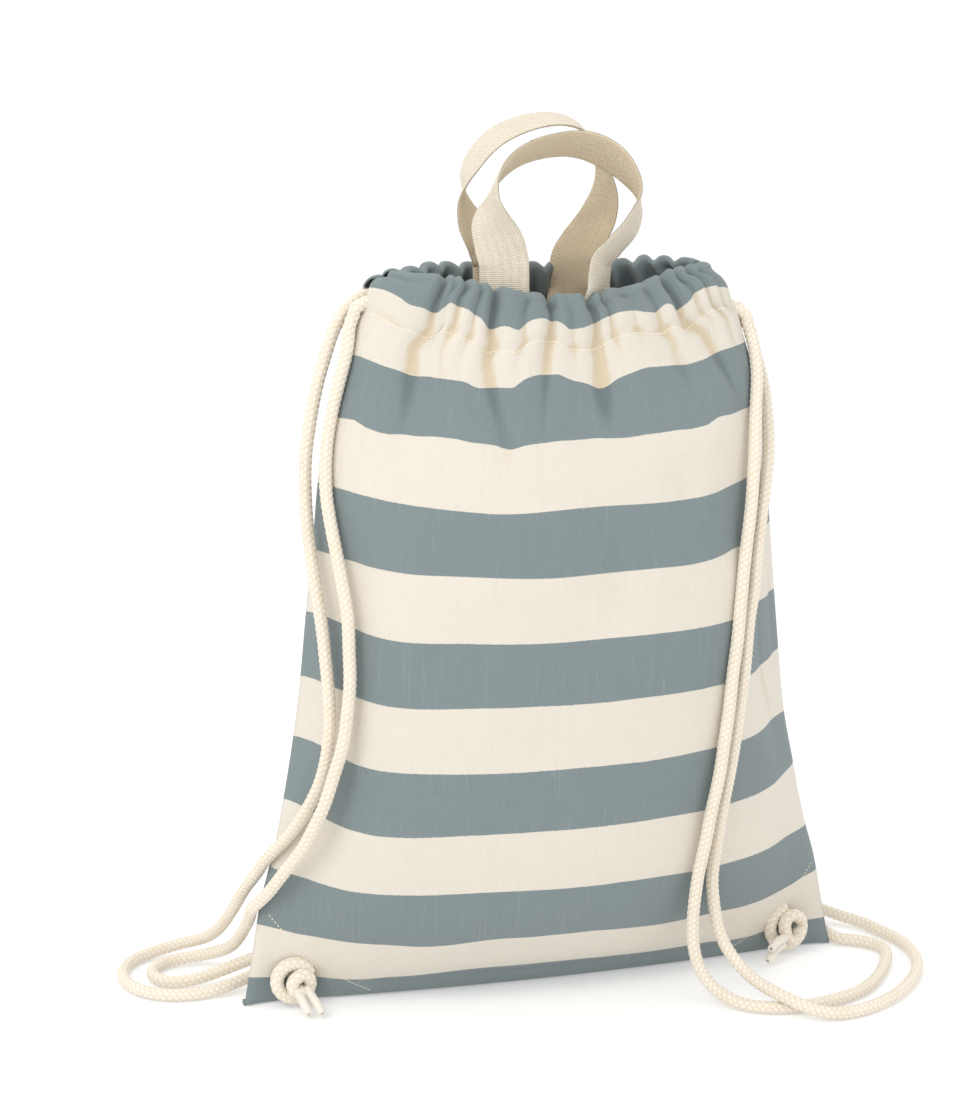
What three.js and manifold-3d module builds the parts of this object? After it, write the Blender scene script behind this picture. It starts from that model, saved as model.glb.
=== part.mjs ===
// A striped cotton drawstring bag, stuffed and standing, with two webbing grab handles at the mouth
// and two rope cords that close it and serve as shoulder straps. Millimetres, +Z up, front faces -Y.
import * as THREE from 'three';
import { mergeVertices } from 'three/addons/utils/BufferGeometryUtils.js';
import Module from 'manifold-3d';

// Bag cloth
const bagWidth = 370; // between the side seams, along the bottom
const mouthHeight = 424; // floor to the fold of the hem
const bagDepth = 146; // front to back, where it is stuffed fullest
const mouthWidth = 196;
const mouthDepth = 64;
const baseDepth = 32; // what rests on the floor, at the middle
const clothThickness = 2;
const seamGap = 0.3; // between pieces that are sewn or pressed together

// The flat corners, which the stuffing doesn't reach
const cornerFlat = 62; // how far they run in from the side seam, at the floor
const cornerFade = 45; // the height over which that dies away

// Hem, a tunnel that carries the cords
const hemHeight = 36;
const hemThickness = 13;
const hemWall = 1.3;
const hemEnd = 0.82; // the share of the half mouth that the hem runs round, so its ends stay open

// Corner patches and eyelets
const patchLeg = 70;
const patchThickness = 0.6;
const eyeletInset = 29; // from the side seam to the middle of the hole
const eyeletHeight = 17;
const eyeletFlange = 24;
const eyeletMetal = 0.8;

// Cords
const cordDiameter = 7.5;
const eyeletSlack = 1.4; // left in an eyelet beside its two strands
const eyeletBore = 2 * cordDiameter + eyeletSlack;
const cordSides = 8;
const cordStep = 1.9 * cordDiameter;
const hemStep = cordDiameter;
const settleSteps = 110;
const laneDrops = { left_cord: 11.5, right_cord: 20.5 }; // how far below the mouth each cord runs inside the hem
const tipDiameter = 5;
const tipLength = 17;
const knotSize = { width: 29, depth: 21, height: 27 };

// Handles
const webbingWidth = 28;
const webbingThickness = 2;
const handleLegs = { front: [-31, 22], back: [-26, 24] }; // where each leg is sewn, along X
const handleTilt = { front: 40, back: 14 }; // degrees, across the webbing, at the top of each loop
const loopReach = webbingWidth / 2 + 2.9; // in front of the mouth's middle, so that the two straps pass
const tabLength = 32;

const wasm = await Module();
wasm.setup();

const materials = {
  stripe: new THREE.MeshStandardMaterial({ color: 0x8a9596, roughness: 0.9, metalness: 0 }),
  lining: new THREE.MeshStandardMaterial({ color: 0xefe9df, roughness: 0.9, metalness: 0 }),
  rope: new THREE.MeshStandardMaterial({ color: 0xefe6d6, roughness: 0.85, metalness: 0 }),
  webbing: new THREE.MeshStandardMaterial({ color: 0xe9dfc9, roughness: 0.9, metalness: 0 }),
  tape: new THREE.MeshStandardMaterial({ color: 0xf3efe6, roughness: 0.5, metalness: 0 }),
  eyelet: new THREE.MeshStandardMaterial({ color: 0xb9b7b0, roughness: 0.35, metalness: 1 }),
};

const bag = new THREE.Group();

function add(name, geometry, material) {
  const mesh = new THREE.Mesh(geometry, material);
  mesh.name = name;
  bag.add(mesh);
  return mesh;
}

// --- Geometry helpers ---

function signedVolume(geometry) {
  const p = geometry.attributes.position;
  const index = geometry.index;
  const [a, b, c] = [new THREE.Vector3(), new THREE.Vector3(), new THREE.Vector3()];
  let sum = 0;
  for (let i = 0; i < index.count; i += 3) {
    a.fromBufferAttribute(p, index.getX(i));
    b.fromBufferAttribute(p, index.getX(i + 1));
    c.fromBufferAttribute(p, index.getX(i + 2));
    sum += a.dot(b.cross(c)) / 6;
  }
  return sum;
}

function facingOut(geometry) {
  if (signedVolume(geometry) < 0) {
    const index = geometry.index;
    for (let i = 0; i < index.count; i += 3) {
      const first = index.getX(i);
      index.setX(i, index.getX(i + 1));
      index.setX(i + 1, first);
    }
  }
  return geometry;
}

function fromQuads(points, quads) {
  const geometry = new THREE.BufferGeometry();
  geometry.setAttribute('position', new THREE.Float32BufferAttribute(points.flat(), 3));
  geometry.setIndex(quads.flatMap(([a, b, c, d]) => [a, b, c, a, c, d]));
  return facingOut(geometry);
}

// A thin solid between two grids of the same size.
function shellBetween(outer, inner) {
  const rows = outer.length;
  const columns = outer[0].length;
  const points = [...outer.flat(), ...inner.flat()];
  const at = (side, r, c) => side * rows * columns + r * columns + c;
  const quads = [];
  for (let r = 0; r < rows - 1; r++) {
    for (let c = 0; c < columns - 1; c++) {
      quads.push([at(0, r, c), at(0, r + 1, c), at(0, r + 1, c + 1), at(0, r, c + 1)]);
      quads.push([at(1, r, c), at(1, r, c + 1), at(1, r + 1, c + 1), at(1, r + 1, c)]);
    }
  }
  for (let r = 0; r < rows - 1; r++) {
    quads.push([at(0, r, 0), at(1, r, 0), at(1, r + 1, 0), at(0, r + 1, 0)]);
    const last = columns - 1;
    quads.push([at(0, r, last), at(0, r + 1, last), at(1, r + 1, last), at(1, r, last)]);
  }
  for (let c = 0; c < columns - 1; c++) {
    quads.push([at(0, 0, c), at(0, 0, c + 1), at(1, 0, c + 1), at(1, 0, c)]);
    const last = rows - 1;
    quads.push([at(0, last, c), at(1, last, c), at(1, last, c + 1), at(0, last, c + 1)]);
  }
  return fromQuads(points, quads);
}

// A solid through closed sections of the same point count, with a second set of sections as its bore.
function tunnelThrough(sections, bores) {
  const count = sections[0].length;
  const rows = sections.length;
  const points = [...sections.flat(), ...bores.flat()];
  const at = (side, r, k) => side * rows * count + r * count + (k % count);
  const quads = [];
  for (let k = 0; k < count; k++) {
    for (let r = 0; r < rows - 1; r++) {
      quads.push([at(0, r, k), at(0, r + 1, k), at(0, r + 1, k + 1), at(0, r, k + 1)]);
      quads.push([at(1, r, k), at(1, r, k + 1), at(1, r + 1, k + 1), at(1, r + 1, k)]);
    }
    quads.push([at(0, 0, k), at(0, 0, k + 1), at(1, 0, k + 1), at(1, 0, k)]);
    const last = rows - 1;
    quads.push([at(0, last, k), at(1, last, k), at(1, last, k + 1), at(0, last, k + 1)]);
  }
  return fromQuads(points, quads);
}

// A strap: rectangular sections [[x, y, z] * 4] joined in order and closed at both ends.
function strapThrough(sections) {
  const points = sections.flat();
  const quads = [];
  for (let r = 0; r < sections.length - 1; r++) {
    for (let k = 0; k < 4; k++) {
      const next = (k + 1) % 4;
      quads.push([4 * r + k, 4 * r + next, 4 * r + 4 + next, 4 * r + 4 + k]);
    }
  }
  const last = 4 * (sections.length - 1);
  quads.push([3, 2, 1, 0], [last, last + 1, last + 2, last + 3]);
  return fromQuads(points, quads);
}

function toManifold(geometry) {
  const bare = geometry.clone();
  bare.deleteAttribute('normal');
  bare.deleteAttribute('uv');
  const merged = mergeVertices(bare);
  return new wasm.Manifold(
    new wasm.Mesh({
      numProp: 3,
      vertProperties: Float32Array.from(merged.attributes.position.array),
      triVerts: Uint32Array.from(merged.index.array),
    }),
  );
}

function toGeometry(manifold) {
  const mesh = manifold.getMesh();
  const geometry = new THREE.BufferGeometry();
  geometry.setAttribute('position', new THREE.BufferAttribute(mesh.vertProperties, 3));
  geometry.setIndex(new THREE.BufferAttribute(mesh.triVerts, 1));
  return geometry;
}

function cutAway(geometry, tools) {
  return toGeometry(tools.reduce((body, tool) => body.subtract(toManifold(tool)), toManifold(geometry)));
}

function flipped(geometry) {
  return facingOut(geometry.scale(1, -1, 1));
}

// --- The stuffed shape ---

const bottomStation = 0;
// Share of the mouth height, share of the way in from the seam width to the mouth width,
// and share of the way out from the base depth to the full depth. Above the belly the depth falls
// towards the mouth.
const outline = [
  { rise: bottomStation, taken: 0, depth: baseDepth / 2 },
  { rise: 0.021, taken: 0.011, depth: bagDepth * 0.158 },
  { rise: 0.06, taken: 0.057, depth: bagDepth * 0.26 },
  { rise: 0.13, taken: 0.126, depth: bagDepth * 0.377 },
  { rise: 0.245, taken: 0.276, depth: bagDepth * 0.448 },
  { rise: 0.385, taken: 0.402, depth: bagDepth * 0.483 },
  { rise: 0.573, taken: 0.5, depth: bagDepth * 0.5 },
  { rise: 0.76, taken: 0.609, depth: bagDepth * 0.418 },
  { rise: 0.896, taken: 0.782, depth: mouthDepth / 2 + bagDepth * 0.089 },
  { rise: 1, taken: 1, depth: mouthDepth / 2 },
];

// A smooth curve through one value of the stations, read by height.
function stationCurve(value) {
  const points = outline.map((s) => new THREE.Vector2(s.rise * mouthHeight, value(s)));
  const slopes = points.map((p, i) => {
    if (i === 0 || i === points.length - 1) return null;
    const before = (p.y - points[i - 1].y) / (p.x - points[i - 1].x);
    const after = (points[i + 1].y - p.y) / (points[i + 1].x - p.x);
    return before * after <= 0 ? 0 : (2 * before * after) / (before + after);
  });
  const slopeAt = (i) => {
    const near = i === 0 ? 0 : points.length - 2;
    return slopes[i] ?? (points[near + 1].y - points[near].y) / (points[near + 1].x - points[near].x);
  };
  return (z) => {
    let i = points.findIndex((p) => p.x >= z) - 1;
    if (i < 0) i = z > 0 ? points.length - 2 : 0;
    const [p, q] = [points[i], points[i + 1]];
    const h = q.x - p.x;
    const t = THREE.MathUtils.clamp((z - p.x) / h, 0, 1);
    const [t2, t3] = [t * t, t * t * t];
    return (
      p.y * (2 * t3 - 3 * t2 + 1) + q.y * (3 * t2 - 2 * t3) +
      h * (slopeAt(i) * (t3 - 2 * t2 + t) + slopeAt(i + 1) * (t3 - t2))
    );
  };
}

const halfWidth = stationCurve((s) => bagWidth / 2 - (s.taken * (bagWidth - mouthWidth)) / 2);
const halfDepth = stationCurve((s) => s.depth);

// How far the cloth stands out at x, as a share of the depth at that height.
const roundness = (z) => 0.45 + 0.75 * THREE.MathUtils.clamp((110 - z) / 70, 0, 1);
function fullness(x, z) {
  const reach = halfWidth(z) - cornerFlat * Math.exp(-z / cornerFade);
  const share = Math.min(1, Math.abs(x) / reach);
  return Math.pow(1 - share * share, roundness(z));
}

// A point of the front cloth: u from -1 to 1 between the side seams, and a depth below its surface.
function clothPoint(u, z, inward) {
  const angle = (u * Math.PI) / 2;
  const x = (halfWidth(z) - inward) * Math.sin(angle);
  const full = fullness((halfWidth(z) * x) / (halfWidth(z) - inward), z);
  return [x, -(halfDepth(z) - inward) * full, z];
}

// --- Panels ---

const panelTop = mouthHeight - hemHeight - seamGap;
const panelLevels = [0, 9, 18, 30, 45, 65, 90, 120, 155, 195, 240, 285, 325, 358, 1];
const panelColumns = 32;

function panel() {
  const seam = seamGap / 2;
  const lip = 0.4; // keeps the inner face off the seam plane
  const side = (inward) => {
    const grid = [];
    for (let i = 0; i <= panelColumns; i++) {
      const u = (2 * i) / panelColumns - 1;
      const floor = inward;
      const row = [];
      panelLevels.forEach((level, k) => {
        const share = level === 1 ? 1 : level / 390;
        const z = k === 0 ? floor : share * panelTop;
        const [x, y] = clothPoint(u, z, inward);
        const skin = inward > 0 ? lip : clothThickness;
        const out = halfDepth(z) - inward;
        row.push([x, -(seam + skin) + (y * (out - seam - skin)) / out, z]);
      });
      row.unshift([row[0][0], -seam, floor]);
      grid.push(row);
    }
    return grid;
  };
  return shellBetween(side(0), side(clothThickness));
}

function cornerOutline(sign, grow) {
  const side = (z) => sign * (halfWidth(z) - 2 * clothThickness + grow);
  const foot = clothThickness + 1;
  return new THREE.Shape([
    new THREE.Vector2(side(foot), foot - grow),
    new THREE.Vector2(side(foot) - sign * (patchLeg + 3 * grow), foot - grow),
    new THREE.Vector2(side(foot + patchLeg), foot + patchLeg + 2 * grow),
  ]);
}

// Extrudes an outline drawn in X and Z from y = near to y = far.
function slabBetween(shape, near, far) {
  const geometry = new THREE.ExtrudeGeometry(shape, { depth: far - near, bevelEnabled: false });
  geometry.rotateX(Math.PI / 2);
  geometry.translate(0, far, 0);
  return facingOut(mergeVertices(stripped(geometry)));
}

function stripped(geometry) {
  geometry.deleteAttribute('normal');
  geometry.deleteAttribute('uv');
  return geometry;
}

function discBetween(x, z, diameter, near, far) {
  const geometry = new THREE.CylinderGeometry(diameter / 2, diameter / 2, far - near, 24);
  geometry.translate(x, (near + far) / 2, z);
  return geometry;
}

const eyeletX = bagWidth / 2 - eyeletInset;
const clothFace = seamGap / 2 + clothThickness;
const flangeBack = clothFace + seamGap;
const barrelDiameter = eyeletBore + 2 * eyeletMetal;
const farAway = bagDepth;

function frontPanel() {
  const tools = [];
  for (const sign of [-1, 1]) {
    tools.push(discBetween(sign * eyeletX, eyeletHeight, barrelDiameter + 2 * seamGap, -farAway, farAway));
    const seat = eyeletFlange + 2 * seamGap;
    tools.push(discBetween(sign * eyeletX, eyeletHeight, seat, -farAway, -clothFace));
    const recess = -(seamGap / 2 + patchThickness + 1.5 * seamGap);
    tools.push(slabBetween(cornerOutline(sign, seamGap), recess, seamGap));
  }
  return cutAway(panel(), tools);
}

function cornerPatch(sign) {
  const near = -(seamGap / 2 + patchThickness);
  const slab = slabBetween(cornerOutline(sign, 0), near, -seamGap / 2);
  const hole = barrelDiameter + 2 * seamGap;
  return cutAway(slab, [discBetween(sign * eyeletX, eyeletHeight, hole, -farAway, farAway)]);
}

add('front_panel', frontPanel(), materials.stripe);
add('back_panel', flipped(frontPanel()), materials.stripe);
for (const [name, sign] of [['left', -1], ['right', 1]]) {
  add(`front_${name}_corner_patch`, cornerPatch(sign), materials.lining);
  add(`back_${name}_corner_patch`, flipped(cornerPatch(sign)), materials.lining);
}

// --- Eyelets ---

function ring(profile) {
  const points = [...profile, profile[0]].map(([r, y]) => new THREE.Vector2(r, y));
  return facingOut(mergeVertices(stripped(new THREE.LatheGeometry(points, 28))));
}

function eyelet() {
  const bore = eyeletBore / 2;
  const barrel = barrelDiameter / 2;
  const flange = eyeletFlange / 2;
  return ring([
    [bore, -flangeBack - eyeletMetal],
    [flange, -flangeBack - eyeletMetal * 0.6],
    [flange, -flangeBack],
    [barrel, -flangeBack],
    [barrel, flangeBack],
    [bore, flangeBack],
  ]);
}

function washer() {
  const bore = barrelDiameter / 2 + seamGap;
  const flange = eyeletFlange / 2;
  return ring([
    [bore, flangeBack - seamGap / 2],
    [flange, flangeBack - seamGap / 2],
    [flange, flangeBack + eyeletMetal * 0.6],
    [bore, flangeBack + eyeletMetal],
  ]);
}

for (const [name, sign] of [['left', -1], ['right', 1]]) {
  add(`${name}_eyelet`, eyelet(), materials.eyelet).position.set(sign * eyeletX, 0, eyeletHeight);
  add(`${name}_eyelet_washer`, washer(), materials.eyelet).position.set(sign * eyeletX, 0, eyeletHeight);
}

// --- Hem tunnels ---

const hemFoot = mouthHeight - hemHeight;
const hemColumns = 36;

// A point of the front hem: how high up it (0 to 1) and how far in from its outer face.
function hemPoint(u, high, inward) {
  return clothPoint(u, hemFoot + high * hemHeight, inward);
}

// The section's outline as [share of the height, share of the thickness] pairs, with its top rounded.
const hemSection = [
  [0, 0.1], [0.04, 0], [0.5, 0], [0.9, 0.06], [1, 0.32], [1, 0.68], [0.9, 0.94], [0.5, 1], [0.04, 1], [0, 0.9],
];

function hem() {
  const wallShare = hemWall / hemHeight;
  const sections = [];
  const bores = [];
  for (let i = 0; i <= hemColumns; i++) {
    const u = hemEnd * ((2 * i) / hemColumns - 1);
    sections.push(hemSection.map(([h, t]) => hemPoint(u, h, t * hemThickness)));
    const tunnel = hemThickness - 2 * hemWall;
    bores.push(
      hemSection.map(([h, t]) => hemPoint(u, wallShare + h * (1 - 2 * wallShare), hemWall + t * tunnel)),
    );
  }
  return tunnelThrough(sections, bores);
}

add('front_hem', hem(), materials.stripe);
add('back_hem', flipped(hem()), materials.stripe);

// --- Handles ---

// Where the inner face of the hem's top is, beside x.
function hemInside(x) {
  return (halfDepth(mouthHeight) - hemThickness) * fullness((x * mouthWidth) / (mouthWidth - 2 * hemThickness), mouthHeight);
}

// The sewn end of a strap, against the inner face of the hem.
function handleTab(middle) {
  const across = 6;
  const up = 5;
  const side = (inward) => {
    const grid = [];
    for (let i = 0; i <= across; i++) {
      const x = middle + webbingWidth * (i / across - 0.5);
      const row = [];
      for (let k = 0; k <= up; k++) {
        const z = mouthHeight - tabLength + (tabLength * k) / up;
        const u = (2 / Math.PI) * Math.asin(x / (halfWidth(z) - inward));
        row.push(clothPoint(u, z, inward));
      }
      grid.push(row);
    }
    return grid;
  };
  const face = hemThickness + seamGap;
  return shellBetween(side(face), side(face + webbingThickness));
}

// The loop's middle line as [x, y towards the mouth's middle, z above the hem], from its left leg.
const loopShapes = {
  front: [
    [-31, 0, 7], [-33, 0, 16], [-36.5, 0.5, 29], [-36, 1.5, 42], [-29, 4, 56], [-15, 7, 65.5],
    [2, 8.5, 69.5], [17, 8, 69], [31, 5, 62.5], [41.5, 2.5, 51], [46.5, 1, 38], [42, 0, 25],
    [29, 0, 15], [22.3, 0, 8],
  ],
  back: [
    [-26.5, 0, 7], [-32, 0, 15], [-42, 0.5, 28], [-46.5, 1, 43], [-43.5, 2, 57], [-34, 3.5, 70],
    [-20, 4.5, 78.5], [-5, 5, 81.5], [10, 4.5, 79.5], [23, 3, 72], [33, 1.5, 59], [38, 0.5, 44],
    [36, 0.2, 28], [27.5, 0, 15], [24, 0, 7],
  ],
};

function smoothStep(t) {
  const s = THREE.MathUtils.clamp(t, 0, 1);
  return s * s * (3 - 2 * s);
}

// The front handle, seen as on the front; the back one is the same thing turned over.
function handleLoop(kind) {
  const root = webbingThickness / 2 + seamGap;
  const legs = handleLegs[kind].map((x) => [x, hemInside(x) - root, mouthHeight + seamGap]);
  const [left, right] = legs.map((p) => new THREE.Vector3(p[0], -p[1], p[2]));
  const between = loopShapes[kind].map(([x, y, z]) => new THREE.Vector3(x, y - loopReach, mouthHeight + z));
  const curve = new THREE.CatmullRomCurve3([left, ...between, right], false, 'centripetal');
  const steps = 44;
  const turnOver = 0.3; // the share of the strap in which a leg turns its face a quarter round
  const sections = [];
  for (let i = 0; i <= steps; i++) {
    const t = i / steps;
    const point = curve.getPointAt(t);
    const along = i === 0 ? new THREE.Vector3(0, 0, 1) : curve.getTangentAt(t);
    if (i === steps) along.set(0, 0, -1);
    const quarter = Math.PI / 2;
    const turn = quarter * (smoothStep(t / turnOver) + 1 - smoothStep((1 - t) / turnOver));
    const lift = Math.tan(THREE.MathUtils.degToRad(handleTilt[kind])) * Math.sin(turn) ** 2;
    const across = new THREE.Vector3(Math.cos(turn), -Math.sin(turn), lift * Math.sin(turn));
    across.addScaledVector(along, -across.dot(along)).normalize();
    const face = new THREE.Vector3().crossVectors(across, along);
    const corner = (w, h) =>
      point
        .clone()
        .addScaledVector(across, (w * webbingWidth) / 2)
        .addScaledVector(face, (h * webbingThickness) / 2)
        .toArray();
    sections.push([corner(-1, -1), corner(1, -1), corner(1, 1), corner(-1, 1)]);
  }
  return strapThrough(sections);
}

for (const kind of ['front', 'back']) {
  const turned = (geometry) => (kind === 'back' ? flipped(geometry) : geometry);
  add(`${kind}_handle`, turned(handleLoop(kind)), materials.webbing);
  handleLegs[kind].forEach((x, i) => {
    add(`${kind}_handle_${['left', 'right'][i]}_end`, turned(handleTab(x)), materials.webbing);
  });
}

// --- Cords ---

const cordRadius = cordDiameter / 2;
const floorLine = cordRadius + 0.25;
const cutFromHem = 1.2; // how far the stretch inside the hem comes out of it
const betweenCords = cordDiameter + 3.5 * seamGap;
const [low, high] = [-1, 1].map((way) => eyeletHeight + way * (cordRadius + 0.2));
const knotFront = -(flangeBack + eyeletMetal + seamGap);

function laneAt(cord, u) {
  return clothPoint(u, mouthHeight - laneDrops[cord], hemThickness / 2);
}

// The nearest point of the cloth to a point beside it, at the same height.
function nearestCloth(point) {
  const side = { x: Math.sign(point.x), y: point.y < 0 ? -1 : 1 };
  let nearest = null;
  for (let u = 0; u <= 1; u += 0.02) {
    const [x, y] = clothPoint(u, point.z, 0);
    const place = new THREE.Vector2(side.x * x, side.y * (clothFace - y));
    const away = place.distanceTo(point);
    if (!nearest || away < nearest.away) nearest = { place, away };
  }
  return nearest;
}

// Moves a point out of the stuffed cloth and off the floor, to where a cord would rest.
function clearOfCloth(point) {
  point.z = Math.max(point.z, floorLine);
  const rest = cordRadius + 2.5 * seamGap;
  const edge = halfWidth(point.z);
  if (point.z > mouthHeight - 6 || Math.abs(point.x) > edge + 2 * rest) return;
  const depth = halfDepth(point.z) * fullness(Math.min(Math.abs(point.x), edge), point.z) + clothFace;
  const inside = Math.abs(point.x) < edge && Math.abs(point.y) < depth;
  const { place, away } = nearestCloth(point);
  if (!inside && away > rest) return;
  const outward = new THREE.Vector2(point.x - place.x, point.y - place.y).setLength(inside ? -rest : rest);
  point.x = place.x + outward.x;
  point.y = place.y + outward.y;
}

function pushApart(p, q, freeP, freeQ) {
  const gap = q.clone().sub(p);
  const short = betweenCords - gap.length();
  if (short <= 0 || (!freeP && !freeQ)) return;
  gap.setLength(short / (freeP && freeQ ? 2 : 1));
  if (freeP) p.sub(gap);
  if (freeQ) q.add(gap);
}

// Lets two strands settle against the cloth, the floor and each other. Their ends stay put.
function settle(pair, heldStart, heldEnd) {
  const free = (line, i) => i >= heldStart && i < line.length - heldEnd;
  for (let round = 0; round < 60; round++) {
    for (const line of pair) {
      for (let i = heldStart; i < line.length - heldEnd; i++) {
        const middle = line[i - 1].clone().add(line[i + 1]).multiplyScalar(0.5);
        line[i].lerp(middle, round < 50 ? 0.12 : 0);
        clearOfCloth(line[i]);
      }
    }
    pair[0].forEach((p, i) => pair[1].forEach((q, j) => pushApart(p, q, free(pair[0], i), free(pair[1], j))));
  }
}

// Each cord has two free strands. They leave the ends of the hem tunnels, fall beside the bag,
// lie in a loop on the floor and go in at the back of the corner eyelet.
// The points between are drawn for a bag of this size, and stretched to fit any other.
const drawnFor = { width: 370, depth: 146, height: 424 };
const strands = {
  left_cord: {
    front: [
      [-101, -4.6, 414], [-105, -4.6, 413.5], [-110.5, -5, 410], [-114, -6, 403], [-117, -9, 394], [-122, -14, 380], [-127, -14, 363],
      [-131, -14, 339], [-134, -18, 315], [-134, -26, 291], [-131, -34, 269], [-128, -40, 248],
      [-127, -44, 225], [-128, -46, 200], [-131, -48, 178], [-135, -48, 158], [-141, -45, 137],
      [-148, -40, 116], [-157, -31, 97], [-167, -20, 80], [-175, -6, 62], [-180, 10, 46],
      [-181, 27, 30], [-184, 44, 17], [-193, 58, 8], [-206, 66, 5], [-220, 68, 4], [-233, 62, 4],
      [-240, 50, 4], [-238, 38, 4], [-227, 30, 4], [-213, 27, 4], [-198, 28, 6], [-184, 31, 12],
      [-173, 29, 18],
    ],
    back: [
      [-101, 4.6, 414], [-106, 4.6, 414], [-114, 4, 412], [-121, 2, 405], [-127, 0, 392], [-135, -3, 366],
      [-141, -4, 343], [-144, -5, 316], [-144, -9, 288], [-143, -17, 267], [-141, -27, 240],
      [-138, -32, 212], [-136, -35, 190], [-137, -36, 167], [-140, -35, 146], [-147, -27, 126],
      [-157, -17, 107], [-167, -5, 90], [-176, 8, 74], [-182, 22, 58], [-186, 38, 39],
      [-190, 56, 22], [-198, 73, 12], [-210, 83, 7], [-224, 85, 5], [-240, 77, 4], [-250, 61, 4],
      [-252, 42, 4], [-244, 23, 4], [-230, 11, 4], [-215, 8, 4], [-199, 11, 4], [-185, 16, 6],
      [-174, 19, 10],
    ],
  },
  right_cord: {
    front: [
      [103, -4.5, 404], [109, -4.6, 402.5], [115, -6, 396], [119, -10, 385], [118, -22, 367], [115, -34, 348],
      [111, -42, 327], [108, -48, 305], [104, -54, 283], [99, -60, 254], [95, -64, 226],
      [92, -67, 200], [89, -68, 173], [85, -70, 150], [81, -70, 126], [76, -69, 100],
      [72, -67, 72], [70, -65, 46], [72, -64, 23], [78, -68, 8], [86, -84, 4], [98, -97, 4],
      [112, -101, 4], [126, -101, 4], [141, -100, 4], [166, -91, 4], [192, -67, 4], [209, -39, 4],
      [214, -13, 4], [204, 8, 4], [190, 19, 6], [176, 21, 9],
    ],
    back: [
      [103, 4.6, 404], [107, 4.6, 403.5], [115, 3.6, 399], [120, -1, 388], [124, -8, 372], [127, -14, 357],
      [127, -22, 343], [125, -29, 329], [119, -40, 304], [112, -47, 282], [107, -54, 254],
      [103, -58, 226], [100, -60, 200], [97, -61, 173], [94, -63, 150], [90, -63, 126],
      [85, -62, 104], [83, -60, 80], [84, -59, 60], [88, -60, 40], [94, -63, 22],
      [100, -72, 14], [105, -84, 13], [110, -97, 12.5], [116, -109, 9], [126, -116, 5],
      [143, -119, 4], [169, -111, 4], [201, -87, 4], [221, -59, 4], [228, -33, 4], [224, -8, 4],
      [214, 14, 4], [199, 31, 7], [183, 37, 13], [170, 33, 19],
    ],
  },
};

function fromEyelet(sign, level) {
  const x = sign * eyeletX;
  const back = flangeBack + eyeletMetal;
  const ends = [[x + sign * 4, back + 11, level], [x, back + 4, level], [x, knotFront + 2 * seamGap, level]];
  return ends.map((p) => new THREE.Vector3(...p));
}

// A point on the cord's line, a little way out of the end of the front hem.
function outOfHem(cord, sign, far) {
  const lane = new THREE.Vector3(...laneAt(cord, sign * hemEnd));
  const before = new THREE.Vector3(...laneAt(cord, sign * (hemEnd - 0.04)));
  return lane.clone().addScaledVector(lane.clone().sub(before).normalize(), far);
}

// Near the hem a strand keeps its drop from the mouth, and on the floor its height.
function strandHeight(z) {
  if (z > 340) return mouthHeight - (drawnFor.height - z);
  return z > 25 ? (z * mouthHeight) / drawnFor.height : z;
}

function strandPoints(cord, sign, side, level) {
  const way = side === 'front' ? 1 : -1;
  const start = [cutFromHem + 5 * seamGap, 1.1 * cordRadius, 1.5 * cordRadius].map((k) => outOfHem(cord, sign, k));
  start.forEach((p) => (p.y *= way));
  const between = strands[cord][side].map(
    ([px, py, pz]) =>
      new THREE.Vector3(
        (px * bagWidth) / drawnFor.width,
        (py * bagDepth) / drawnFor.depth,
        strandHeight(pz),
      ),
  );
  return new THREE.CatmullRomCurve3([...start, ...between, ...fromEyelet(sign, level)], false, 'centripetal');
}

const cordSection = new THREE.Shape(
  Array.from({ length: cordSides }, (_, i) => {
    const angle = (2 * Math.PI * (i + 0.5)) / cordSides;
    return new THREE.Vector2(Math.cos(angle), Math.sin(angle)).multiplyScalar(cordRadius);
  }),
);

function cordAlong(points, step = cordStep) {
  const curve = new THREE.CatmullRomCurve3(points, false, 'centripetal');
  const steps = Math.round(curve.getLength() / step);
  const settings = { steps, extrudePath: curve, bevelEnabled: false };
  return facingOut(mergeVertices(stripped(new THREE.ExtrudeGeometry(cordSection, settings))));
}

// The stretch inside the hems: in at one end of the front hem, round the far end and back.
function cordInHem(cord, sign) {
  const front = [outOfHem(cord, sign, cutFromHem)];
  for (let share = 0; share < 1.01; share += 0.05) {
    front.push(new THREE.Vector3(...laneAt(cord, sign * hemEnd * (1 - 2 * share))));
  }
  const z = front[0].z;
  const farX = laneAt(cord, -sign)[0];
  const turn = [-3.5, 0, 3.5].map((y) => new THREE.Vector3(farX - sign * (y ? 0.5 : 1.5), y, z));
  const back = front.map((p) => new THREE.Vector3(p.x, -p.y, z)).reverse();
  return cordAlong([...front, ...turn, ...back], hemStep);
}

for (const [cord, sign, levels] of [['left_cord', -1, [high, low]], ['right_cord', 1, [low, high]]]) {
  const pair = ['front', 'back'].map((side, i) =>
    strandPoints(cord, sign, side, levels[i]).getSpacedPoints(settleSteps),
  );
  settle(pair, 3, 5);
  add(`${cord}_front_strand`, cordAlong(pair[0]), materials.rope);
  add(`${cord}_back_strand`, cordAlong(pair[1]), materials.rope);
  add(`${cord}_in_hem`, cordInHem(cord, sign), materials.rope);
}

// --- Knots and taped tips ---

function knot() {
  const shape = [[0, -1], [0.55, -0.86], [0.92, -0.45], [0.86, -0.05], [1, 0.35], [0.7, 0.85], [0, 1]];
  const points = shape.map(([r, y]) => new THREE.Vector2(r / 2, y / 2));
  const geometry = mergeVertices(stripped(new THREE.LatheGeometry(points, 20)));
  return facingOut(geometry.scale(knotSize.width, knotSize.depth, knotSize.height));
}

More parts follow.
